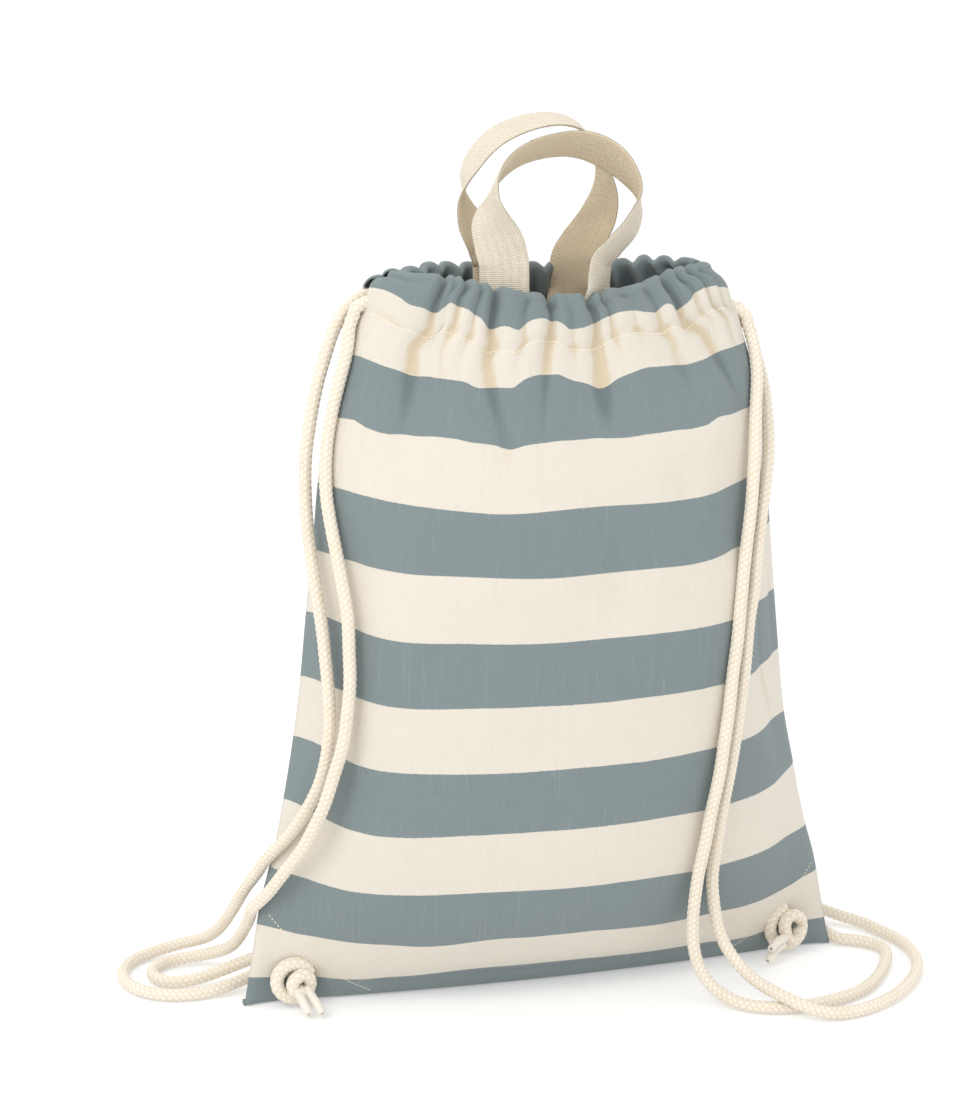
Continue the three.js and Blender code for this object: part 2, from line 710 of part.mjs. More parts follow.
function tip() {
  const r = tipDiameter / 2;
  const half = tipLength / 2;
  const points = [[0, -half], [r * 0.8, -half], [r, -half + 0.6], [r, half - 0.6], [r * 0.8, half], [0, half]];
  const profile = points.map(([x, y]) => new THREE.Vector2(x, y));
  return facingOut(mergeVertices(stripped(new THREE.LatheGeometry(profile, 12))));
}

const knotY = knotFront - 0.5 - knotSize.depth / 2;
const knotZ = 17;
const knotX = { left: -eyeletX - 1, right: eyeletX - 4 };
// Each tip: its middle, with X from the middle of its knot, and the direction that it points in.
const tips = {
  left_cord_front_tip: { at: [2, -31, 10], along: [0.2, -0.4, -0.75] },
  left_cord_back_tip: { at: [9.5, -31, 10], along: [0.3, -0.5, -0.65] },
  right_cord_front_tip: { at: [-13, -31, 8], along: [-0.85, -0.4, -0.35] },
  right_cord_back_tip: { at: [-9, -32, 16], along: [-0.8, -0.5, -0.1] },
};

for (const [name, x] of Object.entries(knotX)) {
  add(`${name}_cord_knot`, knot(), materials.rope).position.set(x, knotY, knotZ);
}
for (const [name, { at, along }] of Object.entries(tips)) {
  const mesh = add(name, tip(), materials.tape);
  mesh.position.set(knotX[name.split('_')[0]] + at[0], at[1], at[2]);
  mesh.quaternion.setFromUnitVectors(new THREE.Vector3(0, 1, 0), new THREE.Vector3(...along).normalize());
}

export default bag;
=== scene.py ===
"""Builds the finished looks of a stuffed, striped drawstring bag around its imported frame."""

import math

import bpy
import numpy as np
from bpy.props import FloatProperty, FloatVectorProperty, IntProperty, PointerProperty
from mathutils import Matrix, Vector
from mathutils.bvhtree import BVHTree


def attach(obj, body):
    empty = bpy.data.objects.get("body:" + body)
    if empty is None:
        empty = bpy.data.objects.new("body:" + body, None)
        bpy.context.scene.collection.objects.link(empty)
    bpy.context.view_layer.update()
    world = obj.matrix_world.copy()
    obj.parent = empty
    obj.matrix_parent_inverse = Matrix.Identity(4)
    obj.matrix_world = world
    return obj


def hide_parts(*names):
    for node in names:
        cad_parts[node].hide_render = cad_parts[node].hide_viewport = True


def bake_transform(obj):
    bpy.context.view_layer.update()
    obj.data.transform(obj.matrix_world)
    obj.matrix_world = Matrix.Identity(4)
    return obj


bl_info = {
    "name": "Striped Drawstring Bag",
    "version": (1, 0, 0),
    "blender": (4, 5, 0),
    "location": "View3D > Sidebar > Drawstring Bag",
    "description": "Builds the cloth, cords, handles and stage of a drawstring bag",
    "category": "Object",
}

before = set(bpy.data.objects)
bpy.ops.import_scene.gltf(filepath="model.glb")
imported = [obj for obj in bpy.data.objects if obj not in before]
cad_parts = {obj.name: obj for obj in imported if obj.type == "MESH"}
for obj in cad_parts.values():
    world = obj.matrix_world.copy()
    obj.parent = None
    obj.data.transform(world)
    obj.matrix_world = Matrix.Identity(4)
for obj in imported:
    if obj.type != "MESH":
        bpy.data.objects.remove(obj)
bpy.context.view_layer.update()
MM = 0.001

# The stuffed cloth, in millimetres. Stations run up the cloth from the front of its base.
STATIONS = [0, 12, 35, 70, 120, 180, 260, 340, 400, 452]
HALF_WIDTHS = [185, 183, 179.5, 174, 161, 150.4, 141.5, 132, 117, 97]
HALF_DEPTHS = [14, 20.5, 37.7, 55.8, 65.5, 70.5, 73, 60.7, 45.5, 32]
FOLD = 452.0
HEM = 37.0
CLOTH_FACE = 2.15
BASE_SEAM = 0.3  # from the seam plane to the foot of either cloth
FLOOR_CLEARANCE = 1.25  # what the thickness of the cloth takes up below its surface
BASE_SHARES = np.array([0.0, 0.35, 0.7])  # the rows of the flat base, from the seam outwards
FOLD_RADIUS = 4.6
LINING_STEP = 2.1  # between the rows of the hem's inner leg
MOST_SETTLING = 0.006  # in metres
SMOOTHING_PASSES = 60
STRAND_GAP = 0.25  # least space between two strands that lie side by side

# Gathers along the front and back hems: place across the flat cloth, depth, half width, length down the cloth, lean.
FRONT_GATHERS = [
    (-124, 5.5, 5, 62, 2), (-112, 3, 4, 26, 0), (-101, 4.5, 4, 24, 0), (-86, 3.6, 4, 26, 0),
    (-71, 7, 6, 66, 15), (-40, 2.4, 6, 40, 0), (-15, 6.5, 6, 58, -9), (4, 2, 5, 30, 0),
    (27, 6.5, 6, 42, -4), (41, 4, 4, 28, 2), (62, 2, 6, 30, 0), (88, 2.6, 6, 40, 0),
    (113, 6.2, 6, 100, 17), (129, 4.6, 4, 34, 4), (145, 5.2, 5, 52, 2), (160, 3, 4, 26, 0),
]
BACK_GATHERS = [
    (-160, 3.0, 6, 40, 0), (-136, 5.0, 6, 60, 6), (-112, 4.5, 6, 40, -4), (-88, 5.2, 6, 70, 5),
    (-63, 4.0, 6, 36, 0), (-39, 5.5, 6, 80, -6), (-15, 4.6, 6, 40, 4), (9, 5.5, 6, 66, -4),
    (33, 4.6, 6, 40, 6), (57, 5.4, 6, 78, 4), (82, 4.8, 6, 42, -5), (107, 5.5, 6, 60, 3),
    (131, 4.6, 6, 38, 0), (155, 4.0, 6, 52, -4),
]

# How far the threads of the front cloth sag or ride up, in millimetres. Each row is one line across the cloth.
SAG_ROWS = [0, 58.7, 95.6, 132.6, 169.5, 206.4, 243.4, 280.4, 317.3, 354.2, 391.2, 428.2, 452]
SAG_COLUMNS = np.arange(-180, 181, 12)
SAG = [
    [0] * 31,
    [
        -8.8, -10.8, -12.2, -12.5, -12, -10.9, -9.9, -8.8, -7.2, -5.2, -3.1, -1.3, -0.3, -0.1, 0.1, -0.1, -0.4, -1.4,
        -2.5, -3.8, -4.9, -5.5, -6.1, -6.9, -8.5, -9.8, -11.4, -12, -11.3, -9.6, -8.7,
    ],
    [
        -10.4, -10.6, -10.9, -11.6, -11.5, -10.5, -9.1, -7.4, -5.7, -3.9, -2.3, -1, -0.2, 0.2, 0.3, 0.3, 0, -0.3,
        -1.2, -2.1, -3.4, -4.6, -5.7, -6.7, -8, -8.9, -9.4, -9.5, -10.4, -11.6, -12.5,
    ],
    [
        -5.9, -6.7, -8.3, -10, -10.9, -11.1, -10.2, -8.8, -7, -5.1, -3.6, -2.2, -1.1, -0.2, 0.2, 0.4, 0.3, 0, -0.6,
        -1.2, -2.2, -3.4, -4.6, -5.8, -6.8, -7.6, -7.8, -8, -8.1, -8.1, -8.1,
    ],
    [
        -4.9, -5.1, -6.2, -7.8, -9.1, -9.4, -8.8, -7.8, -6.5, -5.3, -4.2, -3.1, -2.2, -1.1, -0.4, 0.1, 0.1, -0.2,
        -0.9, -1.5, -2.2, -2.9, -4, -5.4, -6.7, -7.6, -7.8, -8, -8.7, -10.4, -12.2,
    ],
    [
        -6.5, -6.8, -7.5, -8, -8.6, -8.8, -8.5, -7.6, -6.2, -4.8, -3.4, -2.4, -1.4, -0.6, -0.3, -0.1, -0.1, -0.1,
        -0.4, -1.2, -2.1, -3.2, -4, -5.3, -6.6, -7.8, -8.4, -8.8, -9.3, -9.6, -9.7,
    ],
    [
        -5.4, -5.7, -6.5, -7.3, -8, -8.1, -7.8, -6.9, -5.7, -4.5, -3.7, -2.9, -2.2, -1.6, -1.1, -0.7, -0.6, -0.9,
        -1.5, -2.2, -3.3, -4.2, -5, -5.6, -6.1, -6.3, -6.4, -6.9, -8.2, -8.8, -9.2,
    ],
    [
        -6.4, -6.4, -6.6, -6.8, -7.4, -7.4, -7.2, -6.5, -5.5, -4.7, -4.1, -3.7, -3.3, -2.9, -2.4, -1.9, -1.7, -1.8,
        -2.2, -2.9, -4, -4.9, -5.1, -4.5, -3.2, -3.2, -3.7, -4, -4.2, -4.2, -4.3,
    ],
    [
        -4.8, -4.9, -5.2, -5.8, -6.2, -6.5, -6.5, -6.4, -6.3, -6.2, -6.1, -5.4, -4.4, -3.1, -2.1, -1.5, -1.4, -1.8,
        -2.5, -3.3, -4.2, -5, -5.7, -5.8, -5, -4.2, -3.7, -3.9, -5.4, -7, -8.3,
    ],
    [
        -3.1, -3.1, -2.6, -5.7, -6.9, -5.4, -4.9, -3.8, -3.8, -4.9, -4.9, -6.6, -3.6, -1.8, -0.5, 0, 0.5, -0.4, -1.2,
        -1.3, -1.9, -2.4, -3.6, -3.9, -1.3, -1.9, -1.9, -1.9, -1.9, -1.9, -1.9,
    ],
    [
        -0.4, 0.9, -0.4, -2.4, -3.7, -5.1, -4.3, -4.3, -4.3, -6.9, -5.5, -5.5, 0.7, 4.1, 4.8, 1.7, -0.8, -4.2, -0.3,
        1.8, 3, 2, 1.1, -0.4, -0.2, 0.9, 2.3, 2.3, 2.3, 2.3, 2.3,
    ],
    [
        12, 11, 8, 3.3, 1.6, -0.2, 6, 4, 0.7, -4.9, -3.6, -5.1, 1, 3.1, 3.2, -1.4, -1.6, 0.5, 2.8, 4.2, 4.2, 2, 0.8,
        4.5, -0.3, 3, 9, 11, 11, 9, 8,
    ],
    [
        -3, -4, -4.7, -4.7, -4.7, -4.8, -5, -6, -6.5, -7, -8, -9, -9, -9, -8.3, -7.6, -8.5, -9.4, -9.1, -8.8, -8.9,
        -9, -7.8, -6.5, -4.8, -3, -2, -1, -0.5, 0, 0,
    ],
]

# The lie of each free strand of cord, in metres, from the hem to the eyelet.
STRANDS = {
    "left_cord_front_strand": [
        (-.095, -.007, .4125), (-.106, -.0065, .4105), (-.1125, -.007, .4045), (-.116, -.009, .395),
        (-.122, -.013, .377),
        (-.127, -.014, .36), (-.131, -.015, .342), (-.134, -.017, .325), (-.135, -.021, .307),
        (-.134, -.027, .29), (-.132, -.033, .273), (-.13, -.038, .256), (-.128, -.042, .238),
        (-.128, -.044, .22), (-.128, -.046, .203), (-.13, -.047, .185), (-.133, -.048, .167),
        (-.138, -.046, .149), (-.143, -.044, .132), (-.149, -.039, .116), (-.155, -.032, .101),
        (-.163, -.024, .087), (-.17, -.015, .073), (-.177, -.004, .06), (-.179, .009, .047),
        (-.181, .022, .035), (-.183, .035, .024), (-.189, .049, .014), (-.2, .06, .008),
        (-.214, .064, .005), (-.229, .06, .004), (-.235, .048, .004), (-.229, .036, .004),
        (-.215, .029, .005), (-.198, .029, .008), (-.182, .028, .013), (-.168, .022, .019),
        (-.157, .009, .021), (-.156, -.003, .021),
    ],
    "left_cord_back_strand": [
        (-.095, .007, .4125), (-.111, .004, .41), (-.123, .001, .397), (-.13, -.001, .38),
        (-.136, -.003, .362), (-.14, -.004, .343), (-.143, -.005, .324), (-.144, -.007, .305),
        (-.144, -.011, .287), (-.143, -.016, .269), (-.142, -.023, .251), (-.14, -.028, .232),
        (-.139, -.032, .214), (-.138, -.035, .195), (-.138, -.037, .176), (-.14, -.036, .157),
        (-.144, -.032, .139), (-.151, -.026, .122), (-.158, -.017, .107), (-.166, -.007, .093),
        (-.173, .004, .079), (-.179, .016, .065), (-.183, .028, .051), (-.187, .041, .037),
        (-.191, .055, .025), (-.198, .069, .015), (-.21, .079, .009), (-.226, .08, .005),
        (-.24, .072, .004), (-.248, .056, .004), (-.248, .039, .004), (-.24, .023, .004),
        (-.226, .013, .004), (-.208, .011, .004), (-.19, .014, .006), (-.172, .017, .01),
        (-.157, .01, .013), (-.156, -.003, .013),
    ],
    "right_cord_front_strand": [
        (.099, -.008, .4035), (.109, -.008, .4015), (.1155, -.0095, .395), (.1185, -.0135, .384),
        (.118, -.024, .364),
        (.115, -.033, .347), (.112, -.041, .329), (.109, -.047, .31), (.106, -.052, .291),
        (.102, -.057, .273), (.099, -.06, .253), (.096, -.063, .234), (.094, -.065, .215),
        (.091, -.067, .195), (.089, -.068, .176), (.086, -.069, .156), (.083, -.07, .137),
        (.079, -.07, .118), (.076, -.069, .098), (.073, -.067, .079), (.071, -.066, .059),
        (.071, -.065, .04), (.074, -.067, .022), (.081, -.075, .01), (.092, -.088, .005),
        (.107, -.097, .004), (.126, -.1, .004), (.145, -.097, .004), (.163, -.091, .004),
        (.179, -.08, .004), (.192, -.065, .004), (.203, -.049, .004), (.21, -.031, .004),
        (.21, -.013, .004), (.203, .004, .005), (.19, .015, .007), (.173, .018, .01),
        (.157, .01, .013), (.156, -.003, .013),
    ],
    "right_cord_back_strand": [
        (.099, .008, .4035), (.11, .0055, .401), (.1175, .0015, .394), (.122, -.0035, .382),
        (.126, -.014, .36),
        (.126, -.023, .341), (.124, -.032, .322), (.119, -.041, .303), (.114, -.048, .284),
        (.11, -.053, .264), (.107, -.057, .243), (.103, -.059, .223), (.101, -.061, .202),
        (.098, -.062, .181), (.095, -.062, .16), (.092, -.063, .139), (.088, -.063, .118),
        (.085, -.061, .097), (.084, -.06, .076), (.086, -.06, .055), (.09, -.062, .036),
        (.098, -.071, .021), (.106, -.086, .014), (.116, -.103, .011), (.131, -.114, .006),
        (.15, -.115, .004), (.169, -.109, .004), (.187, -.098, .004), (.202, -.084, .004),
        (.215, -.067, .004), (.223, -.048, .004), (.226, -.028, .004), (.222, -.008, .004),
        (.214, .011, .005), (.201, .025, .007), (.185, .032, .013), (.169, .027, .019),
        (.158, .011, .021), (.156, -.003, .021),
    ],
}

# The middle line of each handle, in millimetres, with the front one seen from the front.
HANDLES = {
    "front": [
        (-31, -15.2, 392), (-31, -17, 408), (-31, -16.6, 424), (-31.5, -16.6, 431), (-34, -16.6, 440),
        (-38.5, -16.2, 453), (-38, -15.2, 466), (-31, -12.6, 480), (-17, -9.6, 490),
        (1, -8.2, 494.5), (18, -8.6, 494), (33, -11.6, 487.5), (43.5, -14.2, 476),
        (48, -15.8, 463), (44, -16.6, 449), (34, -16.6, 438), (27, -16.6, 431),
        (25, -16.8, 424), (24.5, -17.2, 408), (24.5, -15.6, 392),
    ],
    "back": [
        (-27, 15.4, 392), (-27, 17, 408), (-27, 16.8, 424), (-28, 16.8, 431), (-33, 16.8, 439),
        (-42, 16.4, 452), (-46, 15.8, 467), (-42, 14.8, 482), (-30, 13.3, 496),
        (-13, 12.3, 505), (4, 11.8, 508), (19, 12.3, 505), (30, 13.8, 496),
        (36, 15.3, 483), (38, 16.3, 468), (34, 16.6, 452), (25.5, 16.8, 439), (20.5, 16.8, 431),
        (19, 16.8, 424), (19, 17, 408), (19, 15.4, 392),
    ],
}
# How far the webbing is turned from flat where each leg leaves the hem, in degrees: left, right.
ROOT_TURNS = {"front": (8.0, 46.0), "back": (12.0, 40.0)}
# The share of each handle over which its left and right legs turn.
TWIST_ENDS = {"front": (0.25, 0.42), "back": (0.3, 0.3)}
TILTS = {"front": 32.0, "back": 14.0}

KNOTS = {"left": (-157, -15.5, 16.5), "right": (151.5, -15.5, 17.5)}
TIPS = {
    "left_cord_front_tip": ((-156.5, -20, 12), (-152, -35, 3.2)),
    "left_cord_back_tip": ((-151, -20, 13), (-144.5, -36.5, 3.4)),
    "right_cord_front_tip": ((147, -22, 10), (132, -33, 4.5)),
    "right_cord_back_tip": ((148, -22, 14), (133.5, -34, 12.5)),
}


class BagCloth(bpy.types.PropertyGroup):
    """Sizes and colours of the cloth."""

    stripe_width: FloatProperty(
        name="Stripe Width", description="Width of one stripe", default=0.03695, unit="LENGTH"
    )
    first_stripe: FloatProperty(
        name="First Stripe", description="Height of the part stripe at the bottom", default=0.0217, unit="LENGTH"
    )
    thread_pitch: FloatProperty(
        name="Thread Pitch", description="Distance between threads of the weave", default=0.00085, unit="LENGTH"
    )
    thickness: FloatProperty(
        name="Thickness", description="Thickness of the cloth", default=0.0011, unit="LENGTH"
    )
    columns: IntProperty(name="Columns", description="Mesh columns across one panel", default=170)
    row_step: FloatProperty(
        name="Row Step", description="Distance between mesh rows", default=0.0021, unit="LENGTH"
    )
    dark: FloatVectorProperty(
        name="Dark Stripe", description="Colour of the dyed stripes", default=(0.192, 0.236, 0.242),
        subtype="COLOR", min=0, max=1
    )
    pale: FloatVectorProperty(
        name="Pale Stripe", description="Colour of the undyed stripes", default=(0.70, 0.655, 0.575),
        subtype="COLOR", min=0, max=1
    )


class BagCord(bpy.types.PropertyGroup):
    """Sizes and colours of the cords and handles."""

    diameter: FloatProperty(name="Diameter", description="Thickness of the cord", default=0.0075, unit="LENGTH")
    stitch_length: FloatProperty(
        name="Stitch Length", description="Length of one stitch of the braid", default=0.0036, unit="LENGTH"
    )
    wales: IntProperty(name="Wales", description="Columns of stitches round the cord", default=8)
    colour: FloatVectorProperty(
        name="Colour", description="Colour of the cotton", default=(0.85, 0.81, 0.73), subtype="COLOR", min=0, max=1
    )
    webbing_width: FloatProperty(
        name="Webbing Width", description="Width of the handles", default=0.028, unit="LENGTH"
    )
    webbing_thickness: FloatProperty(
        name="Webbing Thickness", description="Thickness of the handles", default=0.0019, unit="LENGTH"
    )


class BagStage(bpy.types.PropertyGroup):
    """Camera and lights."""

    azimuth: FloatProperty(
        name="Azimuth", description="Camera angle round the bag", default=math.radians(-15.32), subtype="ANGLE"
    )
    elevation: FloatProperty(
        name="Elevation", description="Camera angle above the floor", default=math.radians(12.03), subtype="ANGLE"
    )
    distance: FloatProperty(name="Distance", description="Camera distance", default=1.3017, unit="LENGTH")
    focal_length: FloatProperty(name="Focal Length", description="Camera lens in millimetres", default=84.8)


# --- Shader nodes ---


class Value:
    """One output of a shader node. Arithmetic on it makes Math nodes."""

    def __init__(self, graph, socket):
        self.graph = graph
        self.socket = socket

    def math(self, operation, *others):
        return self.graph.node("ShaderNodeMath", {"operation": operation}, dict(enumerate((self, *others))))[0]

    def __add__(self, other):
        return self.math("ADD", other)

    __radd__ = __add__

    def __sub__(self, other):
        return self.math("SUBTRACT", other)

    def __rsub__(self, other):
        return self.graph.value(other).math("SUBTRACT", self)

    def __mul__(self, other):
        return self.math("MULTIPLY", other)

    __rmul__ = __mul__

    def __truediv__(self, other):
        return self.math("DIVIDE", other)

    def __rtruediv__(self, other):
        return self.graph.value(other).math("DIVIDE", self)

    def __pow__(self, other):
        return self.math("POWER", other)

    def __abs__(self):
        return self.math("ABSOLUTE")

    def fraction(self):
        return self.math("FRACT")

    def sine(self):
        return self.math("SINE")

    def cosine(self):
        return self.math("COSINE")

    def above(self, edge, soft):
        """0 below edge - soft and 1 above edge + soft, with a smooth change between."""
        settings = {"interpolation_type": "SMOOTHSTEP"}
        inputs = {"Value": self, "From Min": edge - soft, "From Max": edge + soft}
        return self.graph.node("ShaderNodeMapRange", settings, inputs)["Result"]


class Made:
    """A node that has been made. Its outputs are read by name or number."""

    def __init__(self, graph, node):
        self.graph = graph
        self.made = node

    def __getitem__(self, key):
        return Value(self.graph, self.made.outputs[key])


class Graph:
    """The node tree of one material."""

    def __init__(self, name):
        self.material = bpy.data.materials.new(name)
        self.material.use_nodes = True
        self.tree = self.material.node_tree
        self.tree.nodes.clear()

    def node(self, kind, settings=None, inputs=None):
        made = self.tree.nodes.new(kind)
        for key, setting in (settings or {}).items():
            setattr(made, key, setting)
        for key, given in (inputs or {}).items():
            if isinstance(given, Value):
                self.tree.links.new(given.socket, made.inputs[key])
            else:
                made.inputs[key].default_value = given
        return Made(self, made)

    def value(self, number):
        made = self.node("ShaderNodeValue")
        made.made.outputs[0].default_value = number
        return made[0]

    def attribute(self, name):
        return self.node("ShaderNodeAttribute", {"attribute_name": name})["Fac"]

    def flat(self, scale=1000.0):
        """The place on the flat cloth, in millimetres, as two values."""
        uv = self.node("ShaderNodeUVMap", {"uv_map": "flat"})[0]
        parts = self.node("ShaderNodeSeparateXYZ", None, {0: uv})
        return parts["X"] * scale, parts["Y"] * scale

    def vector(self, x, y, z=0.0):
        return self.node("ShaderNodeCombineXYZ", None, {0: x, 1: y, 2: z})[0]

    def noise(self, vector, scale=1.0, detail=2.0):
        inputs = {"Vector": vector, "Scale": scale, "Detail": detail}
        return self.node("ShaderNodeTexNoise", None, inputs)["Fac"]

    def mix(self, factor, first, second, blend="MIX"):
        made = self.node("ShaderNodeMix", {"data_type": "RGBA", "blend_type": blend})
        for key, given in ((0, factor), (6, first), (7, second)):
            if isinstance(given, Value):
                self.tree.links.new(given.socket, made.made.inputs[key])
            else:
                made.made.inputs[key].default_value = given if key == 0 else (*given[:3], 1)
        return made[2]

    def finish(self, colour, roughness, height=None, relief=MM, strength=1.0, **constants):
        inputs = {"Base Color": colour, "Roughness": roughness}
        if height is not None:
            bump = {"Strength": strength, "Distance": relief, "Height": height}
            inputs["Normal"] = self.node("ShaderNodeBump", None, bump)[0]
        inputs.update({key.replace("_", " "): number for key, number in constants.items()})
        shader = self.node("ShaderNodeBsdfPrincipled", None, inputs)
        out = self.tree.nodes.new("ShaderNodeOutputMaterial")
        self.tree.links.new(shader[0].socket, out.inputs[0])
        return self.material


def weave(graph, across, along, pitch):
    """Height of a plain weave, from 0 to 1."""
    warp = (across * (math.pi / pitch)).cosine()
    weft = (along * (math.pi / pitch)).cosine()
    over = warp * weft * 0.5 + 0.5
    return (abs(warp) * over).math("MAXIMUM", abs(weft) * (1 - over))


def canvas_material(name, cloth, striped=True):
    """Striped plain-weave cotton canvas."""
    graph = Graph(name)
    across, along = graph.flat()
    pitch = cloth.thread_pitch * 1000
    wander = graph.noise(graph.vector(across * 0.05, along * 0.05), 1.0) * 0.5
    height = weave(graph, across + wander, along + wander, pitch)
    threads = graph.noise(graph.vector(across * 1.3, along * 0.045), 1.0, 3.0)
    picks = graph.noise(graph.vector(across * 0.04, along * 1.25), 1.0, 3.0)
    slubs = graph.noise(graph.vector(across * 0.7, along * 0.02, 4.0), 1.0, 1.0).above(0.66, 0.05)
    mottle = graph.noise(graph.vector(across * 0.012, along * 0.012), 1.0, 3.0)
    pale = graph.mix(mottle, tuple(c * 0.955 for c in cloth.pale), tuple(min(1, c * 1.035) for c in cloth.pale))
    colour = graph.mix(threads.above(0.5, 0.25) * 0.5, pale, tuple(c * f for c, f in zip(cloth.pale, (0.96,
        0.945, 0.92))))
    # Painted shade: the pale cloth is tinted tan in its folds.
    painted_shade = graph.attribute("painted_shade").math("MINIMUM", 1.0)
    colour = graph.mix(painted_shade, colour, (0.88, 0.79, 0.65), "MULTIPLY")
    if striped:
        jagged = graph.noise(graph.vector(across * 0.9, along * 0.05), 1.0, 1.0) * 0.7
        stripe = ((along + jagged - cloth.first_stripe * 1000) / (cloth.stripe_width * 2000)).fraction()
        dyed = stripe.above(0.5, 0.004) * (1 - stripe.above(0.997, 0.003))
        dyed_tone_and_shade = graph.mix(threads.above(0.52, 0.22) * 0.6, cloth.dark, tuple(c * 1.13 for c in cloth.dark))
        dyed_tone_and_shade = graph.mix(picks.above(0.55, 0.2) * 0.3, dyed_tone_and_shade, tuple(c * 0.86 for c in cloth.dark))
        # Painted shade: the dyed stripes are darkened between the threads of the weave and in the folds of the cloth.
        dyed_tone_and_shade = graph.mix((1 - height) * 0.35, dyed_tone_and_shade, tuple(c * 0.7 for c in cloth.dark))
        dyed_tone_and_shade = graph.mix(painted_shade, dyed_tone_and_shade, (0.72, 0.74, 0.76), "MULTIPLY")
        colour = graph.mix(dyed, colour, dyed_tone_and_shade)
    colour = graph.mix(slubs * 0.05, colour, (0.74, 0.7, 0.62))
    relief = height + threads * 0.8 + picks * 0.7 + slubs * 0.5
    roughness = 0.93 - height * 0.09
    return graph.finish(colour, roughness, relief, 0.00022, 0.75, Sheen_Weight=0.12, Sheen_Roughness=0.6)


def rope_material(name, cord):
    """Braided cotton cord with painted shade darkening its grooves, and a fuzzy surface."""
    graph = Graph(name)
    across, along = graph.flat()
    groove_shade = graph.attribute("painted_shade")
    yarn = graph.noise(graph.vector(across * 2.2, along * 0.7), 1.0, 3.0)
    plies = ((across * 2.6 + along * 3.2) * 2.0).sine() * 0.5 + 0.5
    soil = graph.noise(graph.vector(across * 0.05, along * 0.05), 1.0, 2.0)
    colour = graph.mix(yarn, tuple(c * 0.93 for c in cord.colour), tuple(min(1, c * 1.06) for c in cord.colour))
    # Painted shade: the colour is darkened and warmed in the grooves between the stitches.
    colour = graph.mix(groove_shade, colour, (0.84, 0.74, 0.6), "MULTIPLY")
    colour = graph.mix(soil.above(0.6, 0.15) * 0.25, colour, (0.93, 0.87, 0.78), "MULTIPLY")
    relief = yarn * 0.7 + plies * 0.5
    return graph.finish(colour, 0.94 - yarn * 0.08, relief, 0.00025, 0.8, Sheen_Weight=0.15, Sheen_Roughness=0.6)


def webbing_material(name, cord):
    """Plain-weave cotton webbing with warp ribs."""
    graph = Graph(name)
    across, along = graph.flat()
    twill = weave(graph, across, along, 1.15)
    rib = (across * (math.pi / 0.75)).sine() * 0.5 + 0.5
    yarn = graph.noise(graph.vector(across * 2.5, along * 0.3), 1.0, 3.0)
    patch = graph.noise(graph.vector(across * 0.07, along * 0.05), 1.0, 3.0)
    pale = tuple(min(1, c * f) for c, f in zip(cord.colour, (1.0, 0.99, 0.96)))
    colour = graph.mix(yarn, tuple(c * 0.92 for c in pale), tuple(min(1, c * 1.06) for c in pale))
    # Painted shade: the colour is darker and warmer where the weave dips between threads.
    colour = graph.mix((1 - twill) * 0.9, colour, (0.8, 0.7, 0.56), "MULTIPLY")
    colour = graph.mix(patch.above(0.55, 0.2) * 0.3, colour, (0.95, 0.9, 0.82), "MULTIPLY")
    # Painted shade: the face of each strap that turns away from the light is tinted darker and warmer.
    colour = graph.mix(graph.attribute("painted_shade"), colour, (0.97, 0.91, 0.81), "MULTIPLY")
    relief = twill + rib * 0.35 + yarn * 0.5
    return graph.finish(colour, 0.95 - twill * 0.07, relief, 0.0005, 1.0, Sheen_Weight=0.12, Sheen_Roughness=0.6)


def tape_material():
    """Smooth waxed ends of a cord."""
    graph = Graph("taped_end")
    across, along = graph.flat()
    streaks = graph.noise(graph.vector(across * 1.5, along * 0.2), 1.0, 3.0)
    wrinkle = graph.noise(graph.vector(across * 0.4, along * 1.4), 1.0, 2.0)
    colour = graph.mix(streaks, (0.7, 0.65, 0.56), (0.82, 0.78, 0.7))
    # Painted shade: the hollow dimple at the very end is coloured near-black.
    colour = graph.mix(graph.attribute("painted_shade"), colour, (0.2, 0.16, 0.12))
    return graph.finish(colour, 0.42 + streaks * 0.22, wrinkle, 0.0003, 0.6, Coat_Weight=0.15)


def eyelet_material():
    """Plated metal, lightly brushed round the ring."""
    graph = Graph("eyelet_metal")
    place = graph.node("ShaderNodeTexCoord")["Object"]
    scratch = graph.noise(place, 900.0, 3.0)
    tarnish = graph.noise(place, 160.0, 3.0)
    colour = graph.mix(tarnish, (0.5, 0.48, 0.44), (0.66, 0.64, 0.6))
    return graph.finish(colour, 0.26 + scratch * 0.22, scratch, 0.00006, 0.5, Metallic=1.0)


def thread_material(cord):
    """Sewing thread."""
    graph = Graph("sewing_thread")
    across, along = graph.flat()
    twist = ((along * 4.0 + across * 6.0) * 2.0).sine() * 0.5 + 0.5
    fuzz = graph.noise(graph.vector(across * 3, along * 3), 1.0, 2.0)
    pale = tuple(c * f for c, f in zip(cord.colour, (0.9, 0.86, 0.78)))
    colour = graph.mix(fuzz, pale, tuple(min(1, c * 1.1) for c in pale))
    return graph.finish(colour, 0.8 - twist * 0.12, twist, 0.0001, 0.5)


def floor_material():
    """Pale matt backdrop."""
    graph = Graph("stage_floor")
    place = graph.node("ShaderNodeTexCoord")["Object"]
    grain = graph.noise(place, 30.0, 2.0)
    colour = graph.mix(grain, (0.69, 0.69, 0.69), (0.71, 0.71, 0.71))
    glow = {"Emission_Color": (1.0, 1.0, 1.0, 1.0), "Emission_Strength": 0.3}
    return graph.finish(colour, 0.85 + grain * 0.05, **glow)


# --- Curves and meshes ---


